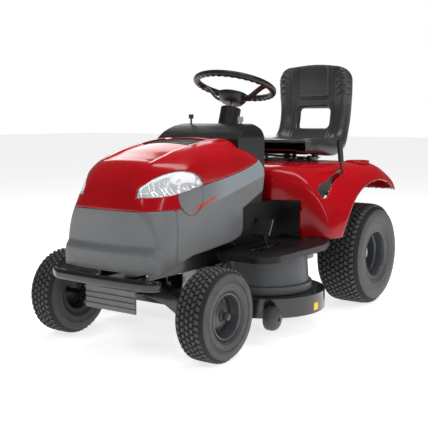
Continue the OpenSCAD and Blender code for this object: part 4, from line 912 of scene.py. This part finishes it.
a = np.linspace(0, 2 * np.pi, 240, endpoint=False)[:, None]
q = np.linspace(0, 2 * np.pi, 24, endpoint=False)[None, :]
grip = 0.0138 + 0.0012 * np.cos(a * 36) * np.clip(-np.sin(q) + 0.2, 0, 1)
ring = np.stack([(0.165 + grip * np.cos(q)) * np.cos(a), (0.165 + grip * np.cos(q)) * np.sin(a),
                 grip * np.sin(q) + 0 * a], -1)
wheel_rim = mesh_of("steering_rim", on_column(ring), grid_faces(240, 24, True, True), satin_black, 60)
fix(wheel_rim, "steering", "dark_plastic", "steering_wheel")
hub_line = np.array([(0.0005, -0.055), (0.030, -0.054), (0.046, -0.049), (0.054, -0.038), (0.0600, -0.034),
                     (0.0640, -0.036), (0.0640, -0.042), (0.056, -0.064), (0.042, -0.079), (0.0005, -0.080)])
a = np.linspace(0, 2 * np.pi, 72, endpoint=False)[:, None]
hub_r, hub_z = hub_line[None, :, 0], hub_line[None, :, 1]
hub_points = on_column(np.stack([hub_r * np.cos(a), hub_r * np.sin(a), hub_z + 0 * a], -1))
fix(mesh_of("steering_hub", hub_points, grid_faces(72, 10, True, False), satin_black, 32), "steering",
    "dark_plastic")
t = np.linspace(0, 1, 24)[:, None]
q = np.linspace(0, 2 * np.pi, 20, endpoint=False)[None, :]
for s, name in ((1, "left"), (-1, "right")):
    out = 0.050 + 0.107 * t
    drop = -0.060 + 0.056 * ease(t, 0.1, 1.0)
    spoke = np.stack([s * (out + 0 * q), 0.0175 * (1 - 0.15 * t) * squared(np.cos(q), 0.6),
                      drop + 0.0065 * squared(np.sin(q), 0.7)], -1)
    fix(mesh_of(f"steering_spoke_{name}", on_column(spoke), grid_faces(24, 20, False, True), satin_black, 60),
        "steering", "dark_plastic")

# ---------------------------------------------------------------- levers
# Bent round bars with moulded grips: the lift lever by the left fender, the drive lever by
# the right one.
soften("lift_lever", "lift_lever", "black_paint", satin_black, 0.0008, 50)
soften("drive_lever", "drive_lever", "black_paint", satin_black, 0.0008, 50)

# ---------------------------------------------------------------- cutting deck
# A pressed deck in gloss black hangs under the frame. A grey moulded cover hides the belt,
# small wheels keep the deck off the turf, and a hinged flap guards the chute.
soften("deck_shell", "deck", "black_paint", black_paint, 0.004, 34)
soften("deck_belt_cover", "deck", "dark_plastic", cover_grey, 0.003, 34)
soften("discharge_deflector", "deflector", "dark_plastic", satin_black, 0.002)
for s, name, x in ((1, "left", 0.405), (-1, "right", -0.475)):
    profile = [(0.0075, -0.022), (0.040, -0.022), (0.0445, -0.018), (0.045, -0.012), (0.045, 0.002), (0.043, 0.010),
               (0.036, 0.018), (0.026, 0.0235), (0.016, 0.026), (0.0075, 0.027)]
    fix(lathe(f"scalp_roller_{name}", profile, (x, -0.267, 0.095), hard_rubber, "x", 64, 40, s), f"scalp_{name}",
        "hard_rubber", f"scalp_wheel_{name}")
label_finish = finish_of("label_yellow", (0.80, 0.52, 0.02), 0.45, variation=0.03)
angle = np.linspace(np.radians(-6), np.radians(1), 14)[:, None]
height = np.linspace(0.092, 0.122, 4)[None, :]
label = np.stack([0.210 + 0.2507 * np.cos(angle) + 0 * height, -0.025 + 0.2507 * np.sin(angle) + 0 * height,
                  height + 0 * angle], -1)
label_piece = mesh_of("plain_label", label, grid_faces(14, 4), label_finish)
modify(label_piece, "SOLIDIFY", thickness=0.0006, offset=0)
fix(label_piece, "deck")

# ---------------------------------------------------------------- floor
# The floor is pale and plain.
floor_data = bpy.data.meshes.new("floor")
floor_data.from_pydata([(-30, -30, 0), (30, -30, 0), (30, 30, 0), (-30, 30, 0)], [], [(0, 1, 2, 3)])
floor = bpy.data.objects.new("floor", floor_data)
bpy.context.scene.collection.objects.link(floor)
floor_data.materials.append(finish_of("pale_floor", (0.5, 0.5, 0.5), 0.8, variation=0.01, worn=0.02,
                                      Emission_Color=(1, 1, 1, 1), Emission_Strength=0.75, Specular_IOR_Level=0.2))
